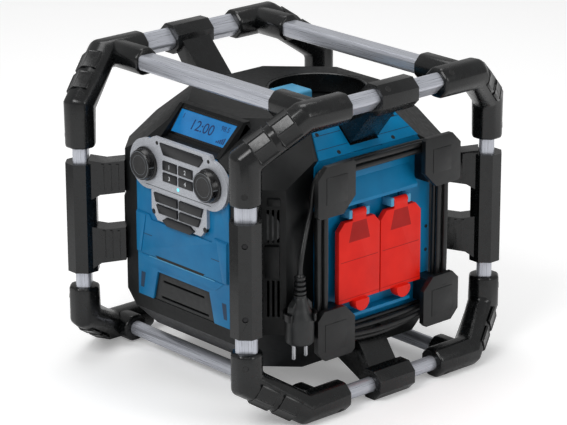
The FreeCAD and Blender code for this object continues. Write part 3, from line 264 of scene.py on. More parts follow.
def prism(form, outline, axis, start, length):
    """Adds an outline of (y, z) drawn out along x, or one of (x, z) drawn out along y."""
    if axis == "x":
        along, corners = X, [(start, a, b) for a, b in outline]
    else:
        along, corners = Y, [(a, start, b) for a, b in outline]
    face = form.faces.new([form.verts.new(corner) for corner in corners])
    grown = bmesh.ops.extrude_face_region(form, geom=[face])
    moved = [item for item in grown["geom"] if isinstance(item, bmesh.types.BMVert)]
    bmesh.ops.translate(form, verts=moved, vec=length * along)
    return [*face.verts, *moved]


def block(form, x_range, y_range, z_range):
    made = bmesh.ops.create_cube(form, size=1.0)
    middle = [(low + high) / 2 for low, high in (x_range, y_range, z_range)]
    spread = [high - low for low, high in (x_range, y_range, z_range)]
    bmesh.ops.scale(form, verts=made["verts"], vec=spread)
    bmesh.ops.translate(form, verts=made["verts"], vec=middle)
    return made["verts"]


def facing(point, direction):
    """Places local Z along a direction at a point."""
    turn = Vector(direction).to_track_quat("Z", "Y").to_matrix().to_4x4()
    return Matrix.Translation(Vector(point)) @ turn


def drum(form, matrix, low_radius, high_radius, length, segments):
    """A cylinder or cone that starts where a matrix places it and runs along its local Z."""
    made = bmesh.ops.create_cone(
        form, cap_ends=True, segments=segments, radius1=low_radius, radius2=high_radius,
        depth=length, matrix=matrix @ Matrix.Translation((0, 0, length / 2)))
    return made["verts"]


def turned(form, profile, point, direction, steps=48):
    """Spins a profile of (radius, distance) pairs round a direction through a point."""
    corners = [form.verts.new((radius, 0, far)) for radius, far in profile]
    edges = [form.edges.new(pair) for pair in zip(corners, corners[1:])]
    spun = bmesh.ops.spin(
        form, geom=corners + edges, cent=(0, 0, 0), axis=(0, 0, 1), dvec=(0, 0, 0),
        angle=2 * math.pi, steps=steps, use_merge=True, use_duplicate=False)
    shape = set(corners)
    shape |= {item for item in spun["geom_last"] if isinstance(item, bmesh.types.BMVert)}
    grown = set(shape)
    while shape:
        shape = {other for corner in shape for edge in corner.link_edges
                 for other in edge.verts} - grown
        grown |= shape
    bmesh.ops.transform(form, matrix=facing(point, direction), verts=list(grown))


def turned_piece(name, profile, point, direction, material, steps=48, body="radio", soft=30.0,
                 stands_for=()):
    form = bmesh.new()
    turned(form, profile, point, direction, steps)
    outward(form)
    return piece(name, form, material, body, soft, stands_for)


def block_piece(name, ranges, material, round_by=0.0, place=None, segments=2):
    """A block from its three ranges, set in place by a matrix and rounded where asked."""
    form = bmesh.new()
    verts = block(form, *ranges)
    if place is not None:
        bmesh.ops.transform(form, matrix=place, verts=verts)
    if round_by:
        ease(form, round_by, segments)
    return piece(name, form, material)


def strip(across, rises):
    """A level rectangle's outline from its two ends and two heights."""
    (start, stop), (first, last) = across, rises
    return [(start, first), (stop, first), (stop, last), (start, last)]


def take_in(form, extra):
    """Adds another form's mesh to a form."""
    mesh = bpy.data.meshes.new("taken_in")
    extra.to_mesh(mesh)
    extra.free()
    form.from_mesh(mesh)
    bpy.data.meshes.remove(mesh)


def copied(node, joined):
    """A CAD solid in millimetres, its flat faces joined up where none has a hole."""
    form = bmesh.new()
    form.from_mesh(frame["nodes"][node].data)
    bmesh.ops.transform(form, matrix=TO_FRAME.inverted(), verts=form.verts)
    bmesh.ops.remove_doubles(form, verts=form.verts, dist=0.004)
    if joined:
        bmesh.ops.dissolve_limit(
            form, angle_limit=math.radians(0.6), use_dissolve_boundaries=False,
            verts=form.verts, edges=form.edges, delimit=set())
    return form


def dressed(node, material, width=0.8, segments=2, angle=25.0, soft=30.0):
    """A CAD solid's own form with its sharp edges rounded."""
    form = copied(node, bool(width))
    if width:
        ease(form, width, segments, angle)
    return piece(node + "_moulding", form, material, BODY_OF[node], soft, [node])


# Cord: out of its block, round the hooks in two layers, then the free lead to the plug

CORD = 6.5
PITCH = 7.8
COIL_SHIFT = 10.0
COIL_HALF = 94.6
COIL_TOP = 90.6
COIL_LOW = -108.6
COIL_NEAR = 149.8
COIL_CORNER = 10.0
COIL_SAG = 4.5
TURNS = 4
LAYER_TURNS = 2.0
CLIMB_TURNS = 0.5
CORD_START = (COIL_NEAR, COIL_SHIFT - 93.65, 20.0)


def coil_side(grow, sag):
    """One turn's points from the left side's middle, down and round to it again."""
    half = COIL_HALF + grow
    low = COIL_LOW - grow
    top = COIL_TOP + grow
    cut = COIL_CORNER + grow * 0.5
    return [
        (-half, low + 60.0), (-half, low + cut), (-half + cut, low),
        (0.0, low - sag), (half - cut, low), (half, low + cut),
        (half, 0.0), (half, top - cut), (half - cut, top),
        (0.0, top), (-half + cut, top), (-half, top - cut),
    ]


def coil_points():
    """Two turns outward on the hooks, half a turn that climbs, then back over the first layer."""
    points = []
    count = len(coil_side(0.0, 0.0))
    for turn in range(TURNS):
        for step in range(count):
            done = turn + step / count
            climb = min(1.0, max(0.0, (done - LAYER_TURNS) / CLIMB_TURNS))
            across = done
            if done >= LAYER_TURNS:
                across = LAYER_TURNS - max(0.0, done - LAYER_TURNS - CLIMB_TURNS)
            y, rise = coil_side(PITCH * climb, COIL_SAG * turn)[step]
            points.append((COIL_NEAR + PITCH * across, COIL_SHIFT + y, rise))
    return points


LEAD_END = (164.0, -124.0, -30.0)
LEAD = [
    (149.9, -91.6, 66.0), (150.4, -93.6, 50.0), (153.0, -102.0, 34.0), (158.5, -112.5, 17.0),
    (162.6, -120.2, 2.0), (163.8, -123.6, -10.0), (164.0, -124.0, -18.0), LEAD_END,
]


def mains_cord():
    route = [CORD_START, (COIL_NEAR, COIL_SHIFT - 94.0, -10.0)] + coil_points() + LEAD
    curve = bpy.data.curves.new("mains_cord", "CURVE")
    curve.dimensions = "3D"
    curve.bevel_depth = CORD / 2 * MM
    curve.bevel_resolution = 4
    curve.resolution_u = 8
    curve.use_fill_caps = True
    spline = curve.splines.new("NURBS")
    spline.points.add(len(route) - 1)
    for point, place in zip(spline.points, route):
        point.co = (*in_frame(*place), 1.0)
    spline.order_u = 3
    spline.use_endpoint_u = True
    curve.materials.append(CORD_BLACK)
    item = bpy.data.objects.new("mains_cord", curve)
    bpy.context.scene.collection.objects.link(item)
    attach(item, "radio")
    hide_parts("cord_winding", "cord_lead")
    return item


PLUG_PROFILE = [
    (0.0, -103.8), (14.5, -103.8), (16.4, -102.0), (16.8, -99.0), (16.8, -74.0), (16.2, -70.0),
    (12.5, -62.0), (9.6, -54.0), (8.4, -48.0), (7.4, -46.5), (0.0, -46.5),
]
PIN_PROFILE = [(0.0, -122.8), (1.5, -122.8), (2.3, -121.4), (2.3, -103.0), (0.0, -103.0)]
PIN_OFFSET = 9.5
RELIEF_RIBS = 4
RIB_PITCH = 5.8


def mains_plug():
    """Round two-pin plug hanging pins down, with a ribbed strain relief."""
    x, y = LEAD_END[:2]
    form = bmesh.new()
    turned(form, PLUG_PROFILE, (x, y, 0.0), Z)
    for way in (-1, 1):
        wing = prism(form, [(y + way * 9.0, -72.0), (y + way * 16.6, -72.0),
                            (y + way * 15.0, -56.0), (y + way * 9.0, -50.0)], "x", x - 4.0, 8.0)
        bmesh.ops.recalc_face_normals(form, faces=list({face for corner in wing
                                                        for face in corner.link_faces}))
    outward(form)
    body = piece("plug_body", form, PLUG_BLACK, soft=35.0, stands_for=["plug"])
    rings = [(0.0, -47.5), (7.8, -47.5), (7.8, -44.0), (5.6, -43.4)]
    for step in range(RELIEF_RIBS):
        low = -43.0 + step * RIB_PITCH
        wide = 7.6 - 0.35 * step
        rings += [(5.6, low), (wide, low + 0.7), (wide, low + 3.6), (5.0, low + 4.3)]
    rings += [(4.2, -19.6), (3.4, -18.8), (0.0, -18.8)]
    relief = turned_piece("plug_strain_relief", rings, (x, y, 0.0), Z, CORD_BLACK, 40)
    form = bmesh.new()
    for way in (-1, 1):
        turned(form, PIN_PROFILE, (x, y + way * PIN_OFFSET, 0.0), Z, 24)
    outward(form)
    pins = piece("plug_pins", form, PIN_METAL)
    return [body, relief, pins]


cord = mains_cord()
plug_pieces = mains_plug()
turned_piece("cord_exit_relief",
             [(0.0, -8.0), (3.5, -8.0), (3.7, -6.0), (4.2, 18.0), (4.2, 20.2), (0.0, 20.2)],
             (CORD_START[0], CORD_START[1], 0.0), Z, CORD_BLACK, 28)


# Roll cage

SIDES = {"left": -1, "right": 1}
ENDS = {"front": -1, "rear": 1}
LEVELS = {"bottom": -1, "top": 1}
ACROSS = 36.9
RAIL_X, RAIL_RISE, BAR_Y = 183.5, 177.0, 117.0
POST_X, POST_Y = 152.0, 196.0
MOUTH_Y, ELBOW_Y = 74.0, 136.0
HEEL_RISE = {"bottom": -138.0, "top": 131.0}
FOOT_RISE = {"bottom": -99.0, "top": 79.0}
BOSS_REACH = {"bottom": 150.0, "top": 119.0}
PAD_SPANS = ((11.0, 37.0), (44.0, 70.0))
PAD_SCALE = 82.0
OCTAGON_REACH = 0.5 / math.cos(math.pi / 8)


def swept(form, path, across, end_side):
    """An eight-sided bar mitred along a path, its flats square to end_side past the slope."""
    tangents = [(path[1] - path[0]).normalized()]
    mitres = [Matrix.Identity(4)]
    for before, here, after in zip(path, path[1:], path[2:]):
        back = (before - here).normalized()
        ahead = (after - here).normalized()
        tangents.append((ahead - back).normalized())
        stretch = 1.0 / math.sin(back.angle(ahead) / 2)
        mitres.append(Matrix.Scale(stretch, 4, (back + ahead).normalized()))
    tangents.append((path[-1] - path[-2]).normalized())
    mitres.append(Matrix.Identity(4))
    start = facing((0, 0, 0), tangents[0]).to_quaternion()
    side = start @ X
    level = Z if abs(tangents[0].z) < 0.9 else X
    lean = math.atan2(tangents[0].dot(side.cross(level)), side.dot(level))
    turns = [Quaternion(tangents[0], lean) @ start]
    for low, high in zip(tangents, tangents[1:]):
        turns.append(low.rotation_difference(high) @ turns[-1])
    side = turns[-1] @ X
    slip = math.atan2(tangents[-1].dot(side.cross(end_side)), side.dot(end_side))
    slip = (slip + math.pi / 8) % (math.pi / 4) - math.pi / 8
    rings = []
    for index, (centre, tangent, turn, mitre) in enumerate(zip(path, tangents, turns, mitres)):
        share = slip if index > 1 else 0.0
        matrix = (Matrix.Translation(centre) @ mitre
                  @ (Quaternion(tangent, share) @ turn).to_matrix().to_4x4()
                  @ Matrix.Rotation(math.pi / 8, 4, "Z"))
        ends = index in (0, len(path) - 1)
        made = bmesh.ops.create_circle(form, cap_ends=ends, segments=8,
                                       radius=across * OCTAGON_REACH, matrix=matrix)
        rings.append(made["verts"])
    for low, high in zip(rings, rings[1:]):
        edges = []
        for ring in (low, high):
            members = set(ring)
            edges += [edge for edge in {e for corner in ring for e in corner.link_edges}
                      if set(edge.verts) <= members]
        bmesh.ops.bridge_loops(form, edges=edges)


def pad(form, start, end, across, wide, out):
    """A raised pad that wraps the outer half of an eight-sided bar."""
    direction = (end - start).normalized()
    side = out - direction * out.dot(direction)
    matrix = facing(start, direction)
    local = matrix.to_quaternion().inverted() @ side
    matrix = (matrix @ Matrix.Rotation(math.atan2(local.y, local.x), 4, "Z")
              @ Matrix.Rotation(math.pi / 8, 4, "Z"))
    radius = across * OCTAGON_REACH
    corners = drum(form, matrix, radius, radius, (end - start).length, 8)
    geometry = set(corners)
    for corner in corners:
        geometry |= set(corner.link_edges) | set(corner.link_faces)
    cut = bmesh.ops.bisect_plane(
        form, geom=list(geometry), plane_co=start + side.normalized() * wide,
        plane_no=-side, clear_outer=True)
    rim = [item for item in cut["geom_cut"] if isinstance(item, bmesh.types.BMEdge)]
    bmesh.ops.contextual_create(form, geom=rim)
    wide_faces = [face for face in form.faces if face.calc_area() > 150.0
                  and abs(face.normal.dot(direction)) < 0.1
                  and abs(face.normal.dot(side.normalized())) > 0.3]
    bmesh.ops.inset_individual(form, faces=wide_faces, thickness=2.4, depth=-1.1)


def screw_well(name, point, direction, radius=3.9):
    """The mouth of a sunk screw, darkened with painted shade for its depth, with a fine lip round
    it.
    """
    profile = [(0.0, 0.12), (radius - 1.0, 0.12), (radius - 0.8, 0.35), (radius - 0.3, 0.35),
               (radius, 0.0), (radius, -0.5), (0.0, -0.5)]
    return turned_piece(name, profile, point, direction, HOLLOW_SHADE_DARK, 20)


def corner_moulding(end_name, side_name, level_name):
    side, end, level = SIDES[side_name], ENDS[end_name], LEVELS[level_name]
    name = "corner_fitting_%s_%s_%s" % (end_name, side_name, level_name)
    mouth = Vector((side * RAIL_X, end * MOUTH_Y, level * RAIL_RISE))
    elbow = Vector((side * RAIL_X, end * ELBOW_Y, level * RAIL_RISE))
    heel = Vector((side * POST_X, end * POST_Y, HEEL_RISE[level_name]))
    foot = Vector((side * POST_X, end * POST_Y, FOOT_RISE[level_name]))
    form = bmesh.new()
    swept(form, [mouth, elbow, heel, foot], ACROSS, X)
    outward(form)
    ease(form, 4.2, 3, 24.0)
    piece(name + "_moulding", form, CAGE_BLACK, soft=24.0, stands_for=[name])
    form = bmesh.new()
    root = Vector((side * (RAIL_X - 6.0), end * BAR_Y, level * RAIL_RISE))
    boss = Vector((side * BOSS_REACH[level_name], end * BAR_Y, level * RAIL_RISE))
    swept(form, [root, boss], ACROSS - 3.0, Z)
    outward(form)
    ease(form, 3.6, 3, 30.0)
    piece(name + "_boss", form, CAGE_BLACK, soft=24.0)
    slope = (heel - elbow).normalized()
    out = Vector((side * 0.55, end * 0.55, level * 0.75))
    form = bmesh.new()
    unit = (heel - elbow).length / PAD_SCALE
    for low, high in PAD_SPANS:
        single = bmesh.new()
        start, end_point = elbow + slope * low * unit, elbow + slope * high * unit
        pad(single, start, end_point, ACROSS + 3.0, 5.0, out)
        take_in(form, single)
    outward(form)
    ease(form, 0.5, 2, 30.0)
    piece(name + "_pads", form, CAGE_BLACK, soft=24.0)
    skin = ACROSS / 2
    tip = (Vector((side, 0, level))).normalized()
    screw_well(name + "_rail_screw", mouth + Vector((0, end * 14.0, 0)) + tip * skin, tip)
    tip = (Vector((side, end, 0))).normalized()
    screw_well(name + "_post_screw", foot + Vector((0, 0, level * 15.0)) + tip * skin, tip)


for side_name in SIDES:
    for end_name in ENDS:
        for level_name in LEVELS:
            corner_moulding(end_name, side_name, level_name)
        dressed("post_sleeve_%s_%s" % (end_name, side_name), CAGE_BLACK, 2.6, 3, 28.0)
        dressed("post_%s_%s" % (end_name, side_name), TUBE_METALS[2], 0.0)
    for level_name in LEVELS:
        dressed("rail_clamp_%s_%s" % (side_name, level_name), CAGE_BLACK, 2.6, 3, 28.0)
        dressed("side_rail_%s_%s" % (side_name, level_name), TUBE_METALS[1], 0.0)
for end_name in ENDS:
    for level_name in LEVELS:
        dressed("cross_bar_%s_%s" % (end_name, level_name), TUBE_METALS[0], 0.0)
dressed("screws", SCREW_METAL, 0.3)


# Casing

dressed("front_casing", CASE_BLACK, 1.8, 3, 20.0)
dressed("rear_casing", CASE_BLACK, 1.8, 3, 20.0)
dressed("front_fascia", FACE_BLUE, 0.9, 2, 28.0)
dressed("subwoofer_panel", PANEL_BLACK, 0.5, 2, 28.0)
dressed("side_panel", SIDE_BLUE, 0.8, 2, 28.0)
dressed("display_bezel", CASE_BLACK, 0.0, soft=20.0)
dressed("display_window", DISPLAY_LIT, 0.3)
dressed("control_plate", SILVER, 0.5, 2, 28.0)
for node in ("power_button", "preset_button_1", "preset_button_2", "preset_button_3",
             "preset_button_4", "previous_button", "next_button", "source_button",
             "equaliser_button", "pause_button"):
    dressed(node, KEY_BLACK, 0.5, 2, 28.0)
for node in ("socket_cover_front", "socket_cover_rear"):
    dressed(node, COVER_RED, 1.0, 3, 28.0)
dressed("cord_hooks", HOOK_BLACK, 1.4, 3, 28.0)
dressed("socket_inserts", HOOK_BLACK, 0.4)
dressed("corner_speakers", INNER_STEEL, 0.5)
dressed("subwoofer_driver", INNER_STEEL, 0.5)
dressed("power_supply", INNER_STEEL, 0.5)
dressed("main_board", BOARD_GREEN, 0.2)


# Knobs

KNOB_OFFSET = 58.5
KNOB_RISE = 73.5
KNOB_BACK = -169.9
KNOB_STEPS = 64
GRIP_PROFILE = [
    (3.0, -12.0), (3.0, 0.0), (20.2, 0.0), (20.9, 0.7), (20.9, 2.2), (19.6, 3.0), (18.6, 9.0),
    (18.2, 10.4), (17.2, 11.3), (16.4, 11.3), (15.9, 10.8), (15.9, 10.0),
]
FACE_PROFILE = [(15.9, 9.6), (15.9, 10.5), (15.2, 10.9), (13.0, 10.7), (0.0, 10.1)]
RING_PROFILE = [(15.9, 10.6), (16.2, 11.42), (17.0, 11.42), (17.4, 11.0)]
LINE_PROFILE = [(11.6, 10.2), (11.7, 10.92), (12.2, 10.92), (12.3, 10.2)]


def knob(node, side):
    """A knob with a dark grip, a raised rim in pale grey that is a painted highlight, a sunk grey
    face, an index mark and a fine line.
    """
    x, back, rise = side * KNOB_OFFSET, KNOB_BACK, KNOB_RISE
    centre = (x, back, rise)
    turned_piece(node + "_grip", GRIP_PROFILE, centre, -Y, KNOB_GRIP, KNOB_STEPS, node, 25.0,
                 [node])
    turned_piece(node + "_face", FACE_PROFILE, centre, -Y, KNOB_FACE, KNOB_STEPS, node, 25.0)
    # The rim's pale grey is a painted highlight.
    turned_piece(node + "_painted_highlight_ring", RING_PROFILE, centre, -Y, GREY_MARK_AND_PAINTED_LIGHT, KNOB_STEPS, node, 40.0)
    form = bmesh.new()
    verts = block(form, (x + 18.0, x + 19.4), (back - 10.5, back - 4.0), (rise - 0.6, rise + 0.6))
    bmesh.ops.rotate(form, verts=verts, cent=(x + 18.7, back - 7.2, rise),
                     matrix=Matrix.Rotation(math.radians(-9.0), 3, "Z"))
    ease(form, 0.2)
    piece(node + "_index", form, GREY_MARK_AND_PAINTED_LIGHT, node)
    turned_piece(node + "_line", LINE_PROFILE, centre, -Y, GREY_MARK_AND_PAINTED_LIGHT, KNOB_STEPS, node, 40.0)


knob("volume_knob", -1)
knob("tuning_knob", 1)


# Front: preset figures, control plate, fascia and display

FASCIA_SKIN = -164.0
BAND_SKIN = -166.0
PLATE_SKIN = -169.5
KEY_PROUD = 1.5
PRESET_KEYS = ((-14.5, 78.5), (14.5, 78.5), (-14.5, 64.2), (14.5, 64.2))
BEDDING = 0.2


def front_detail(name, outline, skin, proud, material, soft_edge=0.0):
    """A flat detail standing proud of a skin of the front."""
    form = bmesh.new()
    prism(form, outline, "y", skin + BEDDING, -proud - BEDDING)
    outward(form)
    if soft_edge:
        ease(form, soft_edge)
    return piece(name, form, material)


def legend(name, words, matrix, tall, material, body="radio"):
    """Plain figures laid on a surface, local Z outwards."""
    curve = bpy.data.curves.new(name + "_outline", "FONT")
    curve.body = words
    curve.size = tall
    curve.extrude = 0.1
    curve.align_x = "CENTER"
    curve.align_y = "CENTER"
    source = bpy.data.objects.new(name + "_outline", curve)
    mesh = bpy.data.meshes.new_from_object(source)
    form = bmesh.new()
    form.from_mesh(mesh)
    bpy.data.objects.remove(source)
    bpy.data.meshes.remove(mesh)
    bpy.data.curves.remove(curve)
    bmesh.ops.transform(form, matrix=matrix, verts=form.verts)
    outward(form)
    return piece(name, form, material, body)


UPRIGHT = Matrix.Rotation(math.pi / 2, 4, "X")
for number, (x, rise) in enumerate(PRESET_KEYS, 1):
    node = "preset_button_%d" % number
    spot = Matrix.Translation((x, PLATE_SKIN - KEY_PROUD, rise)) @ UPRIGHT
    legend(node + "_figure", str(number), spot, 7.5, MARK_WHITE, node)

for name, x, rise in (("plate_hole_left", -38.0, 103.6), ("plate_hole_right", 56.0, 102.0)):
    screw_well(name, (x, PLATE_SKIN, rise), -Y, 2.4)
form = bmesh.new()
drum(form, facing((0.0, PLATE_SKIN + BEDDING, 54.0), -Y), 2.4, 2.1, 0.5, 24)
piece("standby_glow_spot", form, GLOW_SPOT)

for name, side in SIDES.items():
    # The band line is a strip of painted shade along the band's groove.
    front_detail("band_line_" + name, strip((side * 55.0, side * 83.6), (-18.9, -17.9)),
                 BAND_SKIN, 0.08, GROOVE_SHADE_BLUE)
    front_detail("band_facet_" + name, [(side * 65.0, 7.0), (side * 83.4, 7.0),
                                        (side * 83.4, -43.0), (side * 76.0, -43.0)],
                 BAND_SKIN, 1.1, FACE_BLUE, 0.5)
    # The leg recess is a patch of painted shade.
    front_detail("leg_recess_shade_" + name, [(side * 71.0, -70.0), (side * 79.0, -70.0),
                                        (side * 80.5, -90.0), (side * 74.5, -90.0)],
                 FASCIA_SKIN, 0.08, GROOVE_SHADE_BLUE)
# A dark strip of painted shade in the slot under the band.
front_detail("band_slot_shade", [(-49.0, -41.5), (43.0, -41.5), (39.0, -44.6), (-45.0, -44.6)],
             BAND_SKIN, 0.08, HOLLOW_SHADE_DARK)
front_detail("band_ledge", strip((-62.0, 60.0), (-45.2, -46.6)), FASCIA_SKIN, 1.5, LUG_BLUE, 0.3)
# A grey strip of painted shade along the plate's step.
front_detail("plate_step", strip((-60.0, 60.0), (47.6, 48.6)), PLATE_SKIN, 0.06, GREY_MARK_AND_PAINTED_LIGHT)

# On the display's slope, u runs to the right, v up the slope and local Z outwards
SLOPE = math.atan2(35.0, 26.0)
ON_SLOPE = Matrix.Translation((7.0, -147.0, 107.0)) @ Matrix.Rotation(SLOPE, 4, "X")
FRAME_HALF = 53.0
FRAME_LOW, FRAME_HIGH = 3.6, 39.4
FRAME_BAR, FRAME_UPRIGHT = 3.0, 2.8
FIGURE_DEPTH = -0.35
for name, u_range, v_range in (
        ("low", (-FRAME_HALF, FRAME_HALF), (FRAME_LOW, FRAME_LOW + FRAME_BAR)),
        ("high", (-FRAME_HALF, FRAME_HALF), (FRAME_HIGH - FRAME_BAR, FRAME_HIGH)),
        ("left", (-FRAME_HALF, FRAME_UPRIGHT - FRAME_HALF), (FRAME_LOW, FRAME_HIGH)),
        ("right", (FRAME_HALF - FRAME_UPRIGHT, FRAME_HALF), (FRAME_LOW, FRAME_HIGH))):
    block_piece("display_frame_" + name, (u_range, v_range, (0.0, 0.7)), KNOB_GRIP, 0.25, ON_SLOPE)
for name, words, u, v, tall in (("time", "12:00", -4.0, 21.5, 19.0),
                                ("band", "98.5", 34.0, 28.5, 9.0),
                                ("preset", "1", -42.0, 29.0, 9.0)):
    spot = ON_SLOPE @ Matrix.Translation((u, v, FIGURE_DEPTH))
    legend("display_" + name, words, spot, tall, DISPLAY_INK)
for step in range(5):
    start = 28.0 + step * 3.0
    ranges = ((start, start + 2.0), (10.0, 12.5 + step * 1.4), (-0.45, -0.3))
    block_piece("display_bar_%d" % (step + 1), ranges, DISPLAY_INK, place=ON_SLOPE)


# Sides and roof

COVER_CENTRES = {"front": -27.0, "rear": 41.0}
COVER_SKIN = 161.8
LUG_OFFSET = 13.8
LUG_HALF = 2.7
for centre in COVER_CENTRES.values():
    for way in (-1, 1):
        middle = centre + way * LUG_OFFSET
        ranges = ((146.5, 161.9), (middle - LUG_HALF, middle + LUG_HALF), (28.8, 39.2))
        block_piece("hinge_lug_%d" % middle, ranges, LUG_BLUE, 0.9)
# Darker red patches of painted shade: under each cover's neck and along two steps.
for end_name, centre in COVER_CENTRES.items():
    node = "socket_cover_" + end_name
    for name, outline in (
            ("_neck_recess", [(centre - 17.0, 0.0), (centre + 17.0, 0.0), (centre + 11.0, 24.0),
                              (centre - 11.0, 24.0)]),
            ("_step_line", strip((centre - 30.0, centre + 30.0), (-23.4, -22.6))),
            ("_foot_line", strip((centre - 32.5, centre + 32.5), (-70.2, -69.6)))):
        form = bmesh.new()
        prism(form, outline, "x", COVER_SKIN, 0.26)
        outward(form)
        piece(node + name, form, COVER_SHADE_RED, node)

HEAD_SKIN = 176.2
HEAD_BED = HEAD_SKIN - 0.3
# Dark strips of painted shade in the slits by the cord hooks.
for name, low, high, rise in (("front_top", -91.0, -62.0, 90.0), ("rear_top", 84.0, 106.0, 90.0),
                              ("rear_bottom", 98.0, 107.0, -84.0),
                              ("front_bottom", -80.0, -72.0, -87.0)):
    ranges = ((HEAD_BED, HEAD_SKIN + 0.06), (low, high), (rise - 0.7, rise + 0.7))
    block_piece("hook_slit_shade_" + name, ranges, HOLLOW_SHADE_DARK)
for name, y, rise, across in (("front_top", -76.5, 77.0, 33.0), ("rear_top", 95.0, 77.0, 30.0),
                              ("rear_bottom", 98.0, -104.0, 34.0),
                              ("front_bottom", -78.0, -104.0, 34.0)):
    half = across / 2
    ranges = ((HEAD_BED, HEAD_SKIN + 0.7), (y - half, y + half), (rise - half, rise + half))
    block_piece("hook_pad_" + name, ranges, HOOK_BLACK, 0.6)

# On the side's slope, u runs down the slope and local Z outwards
SIDE_TILT = math.atan2(38.0, 40.0)
ON_SIDE_SLOPE = Matrix.Translation((144.0, 0.0, 104.0)) @ Matrix.Rotation(SIDE_TILT, 4, "Y")
SLOPE_BED = 0.4
BAND_PROUD = 2.6
LINE_PROUD = 2.78
LOW_LINE, HIGH_LINE = (-11.4, -10.6), (-29.4, -28.6)
# The slope lines are dark strips of painted shade along the steps in the side's slope.
for name, u_range, y_range, proud, material in (
        ("slope_band", (-7.0, 1.5), (-23.0, 23.0), BAND_PROUD, SIDE_BLUE),
        ("slope_line_front_low", LOW_LINE, (-73.0, -24.5), LINE_PROUD, GROOVE_SHADE_BLUE),
        ("slope_line_rear_low", LOW_LINE, (24.5, 77.0), LINE_PROUD, GROOVE_SHADE_BLUE),
        ("slope_line_front_high", HIGH_LINE, (-66.0, -24.5), LINE_PROUD, GROOVE_SHADE_BLUE),
        ("slope_line_rear_high", HIGH_LINE, (24.5, 70.0), LINE_PROUD, GROOVE_SHADE_BLUE)):
    block_piece(name, (u_range, y_range, (SLOPE_BED, proud)), material, place=ON_SIDE_SLOPE)
for name, u, y in (("front_low", -2.8, -43.8), ("rear_low", -2.8, 44.0),
                   ("front_high", -31.0, -60.0), ("rear_high", -31.0, 62.0)):
    spot = ON_SIDE_SLOPE @ Vector((u, y, 2.7))
    screw_well("slope_screw_" + name, spot, ON_SIDE_SLOPE.to_3x3() @ Z, 2.7)
for side_name, side in SIDES.items():
    tip = Vector((side, 0.0, 1.0)).normalized()
    screw_well("clamp_screw_" + side_name,
               Vector((side * RAIL_X, -16.0, RAIL_RISE)) + tip * ACROSS / 2, tip)
for name, y, rise in (("front", -79.0, -26.0), ("rear", 99.0, -16.0), ("rear_low", 99.0, -46.0)):
    screw_well("panel_screw_" + name, (146.0, y, rise), X, 2.4)

# The chamfers' blocks are built for one corner: x outwards, y along the chamfer
CHAMFER_X, CHAMFER_Y = 126.5, 144.5
CHAMFER_BED = -0.6
for end_name, end in ENDS.items():
    for side_name, side in SIDES.items():
        for name, low, high, start, stop, proud in (
                ("grille_block", -28.0, 11.5, 0.0, 17.0, 5.0),
                ("grille_boss", 60.0, 69.0, 3.0, 18.0, 3.0)):
            form = bmesh.new()
            block(form, (CHAMFER_BED, proud), (start, stop), (low, high))
            ease(form, 1.2, 2)
            turn = Matrix.Rotation(math.atan2(end, side), 4, "Z")
            if side == end:
                bmesh.ops.reverse_faces(form, faces=form.faces)
                turn = turn @ Matrix.Scale(-1.0, 4, Y)
            place = Matrix.Translation((side * CHAMFER_X, end * CHAMFER_Y, 0.0)) @ turn
            bmesh.ops.transform(form, verts=form.verts, matrix=place)
            piece("%s_%s_%s" % (name, end_name, side_name), form, CASE_BLACK)

block_piece("bay_cap", ((-22.0, 16.0), (-8.0, 32.0), (114.0, 142.5)), LUG_BLUE, 3.0, segments=3)
turned_piece("bay_rim", [(62.6, -24.0), (62.6, -0.2), (61.0, 0.0), (59.6, -1.0), (59.6, -24.0)],
             (10.0, 45.0, 142.0), Z, CAGE_BLACK, 72)


# Floor, world and lights

FLOOR_LIFT = 0.24
LIGHT_IN_THE_ROOM = 0.42


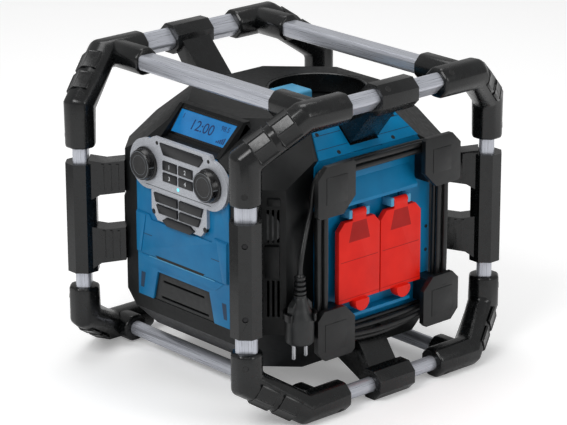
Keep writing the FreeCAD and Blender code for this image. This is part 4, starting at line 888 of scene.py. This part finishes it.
def floor_finish():
    material = bpy.data.materials.new("floor_pale")
    material.use_nodes = True
    nodes, links = material.node_tree.nodes, material.node_tree.links
    shader = nodes["Principled BSDF"]
    shader.inputs["Base Color"].default_value = (0.93, 0.93, 0.93, 1.0)
    shader.inputs["Roughness"].default_value = 0.9
    shader.inputs["Emission Color"].default_value = (1.0, 1.0, 1.0, 1.0)
    seen = nodes.new("ShaderNodeLightPath")
    lift = nodes.new("ShaderNodeMath")
    lift.operation = "MULTIPLY"
    lift.inputs[1].default_value = FLOOR_LIFT
    links.new(seen.outputs["Is Camera Ray"], lift.inputs[0])
    links.new(lift.outputs["Value"], shader.inputs["Emission Strength"])
    return material


form = bmesh.new()
bmesh.ops.create_grid(form, x_segments=1, y_segments=1, size=6.0)
mesh = bpy.data.meshes.new("floor")
form.to_mesh(mesh)
form.free()
mesh.materials.append(floor_finish())
floor = bpy.data.objects.new("floor", mesh)
bpy.context.scene.collection.objects.link(floor)

world = bpy.data.worlds.new("studio")
world.use_nodes = True
bpy.context.scene.world = world
backdrop = world.node_tree.nodes["Background"]
backdrop.inputs["Color"].default_value = (1.0, 1.0, 1.0, 1.0)
backdrop.inputs["Strength"].default_value = LIGHT_IN_THE_ROOM
nodes, links = world.node_tree.nodes, world.node_tree.links
rays = nodes.new("ShaderNodeLightPath")
pale = nodes.new("ShaderNodeBackground")
pale.inputs["Color"].default_value = (1.0, 1.0, 1.0, 1.0)
pale.inputs["Strength"].default_value = 1.0
mix = nodes.new("ShaderNodeMixShader")
links.new(rays.outputs["Is Camera Ray"], mix.inputs["Fac"])
links.new(backdrop.outputs["Background"], mix.inputs[1])
links.new(pale.outputs["Background"], mix.inputs[2])
links.new(mix.outputs["Shader"], nodes["World Output"].inputs["Surface"])


def lamp(name, place, aim_at, wide, tall, power):
    data = bpy.data.lights.new(name, "AREA")
    data.shape = "RECTANGLE"
    data.size = wide
    data.size_y = tall
    data.energy = power
    item = bpy.data.objects.new(name, data)
    item.matrix_world = facing(place, Vector(place) - Vector(aim_at))
    bpy.context.scene.collection.objects.link(item)


lamp("key_light", (0.5, -2.2, 2.4), (0, 0, 0.2), 1.6, 1.2, 40.0)
lamp("side_light", (2.4, 0.6, 1.4), (0, 0, 0.2), 1.0, 1.6, 15.0)
lamp("top_light", (-0.6, 0.4, 2.6), (0, 0, 0.2), 1.6, 1.6, 22.0)

bpy.context.scene.view_settings.view_transform = "Standard"
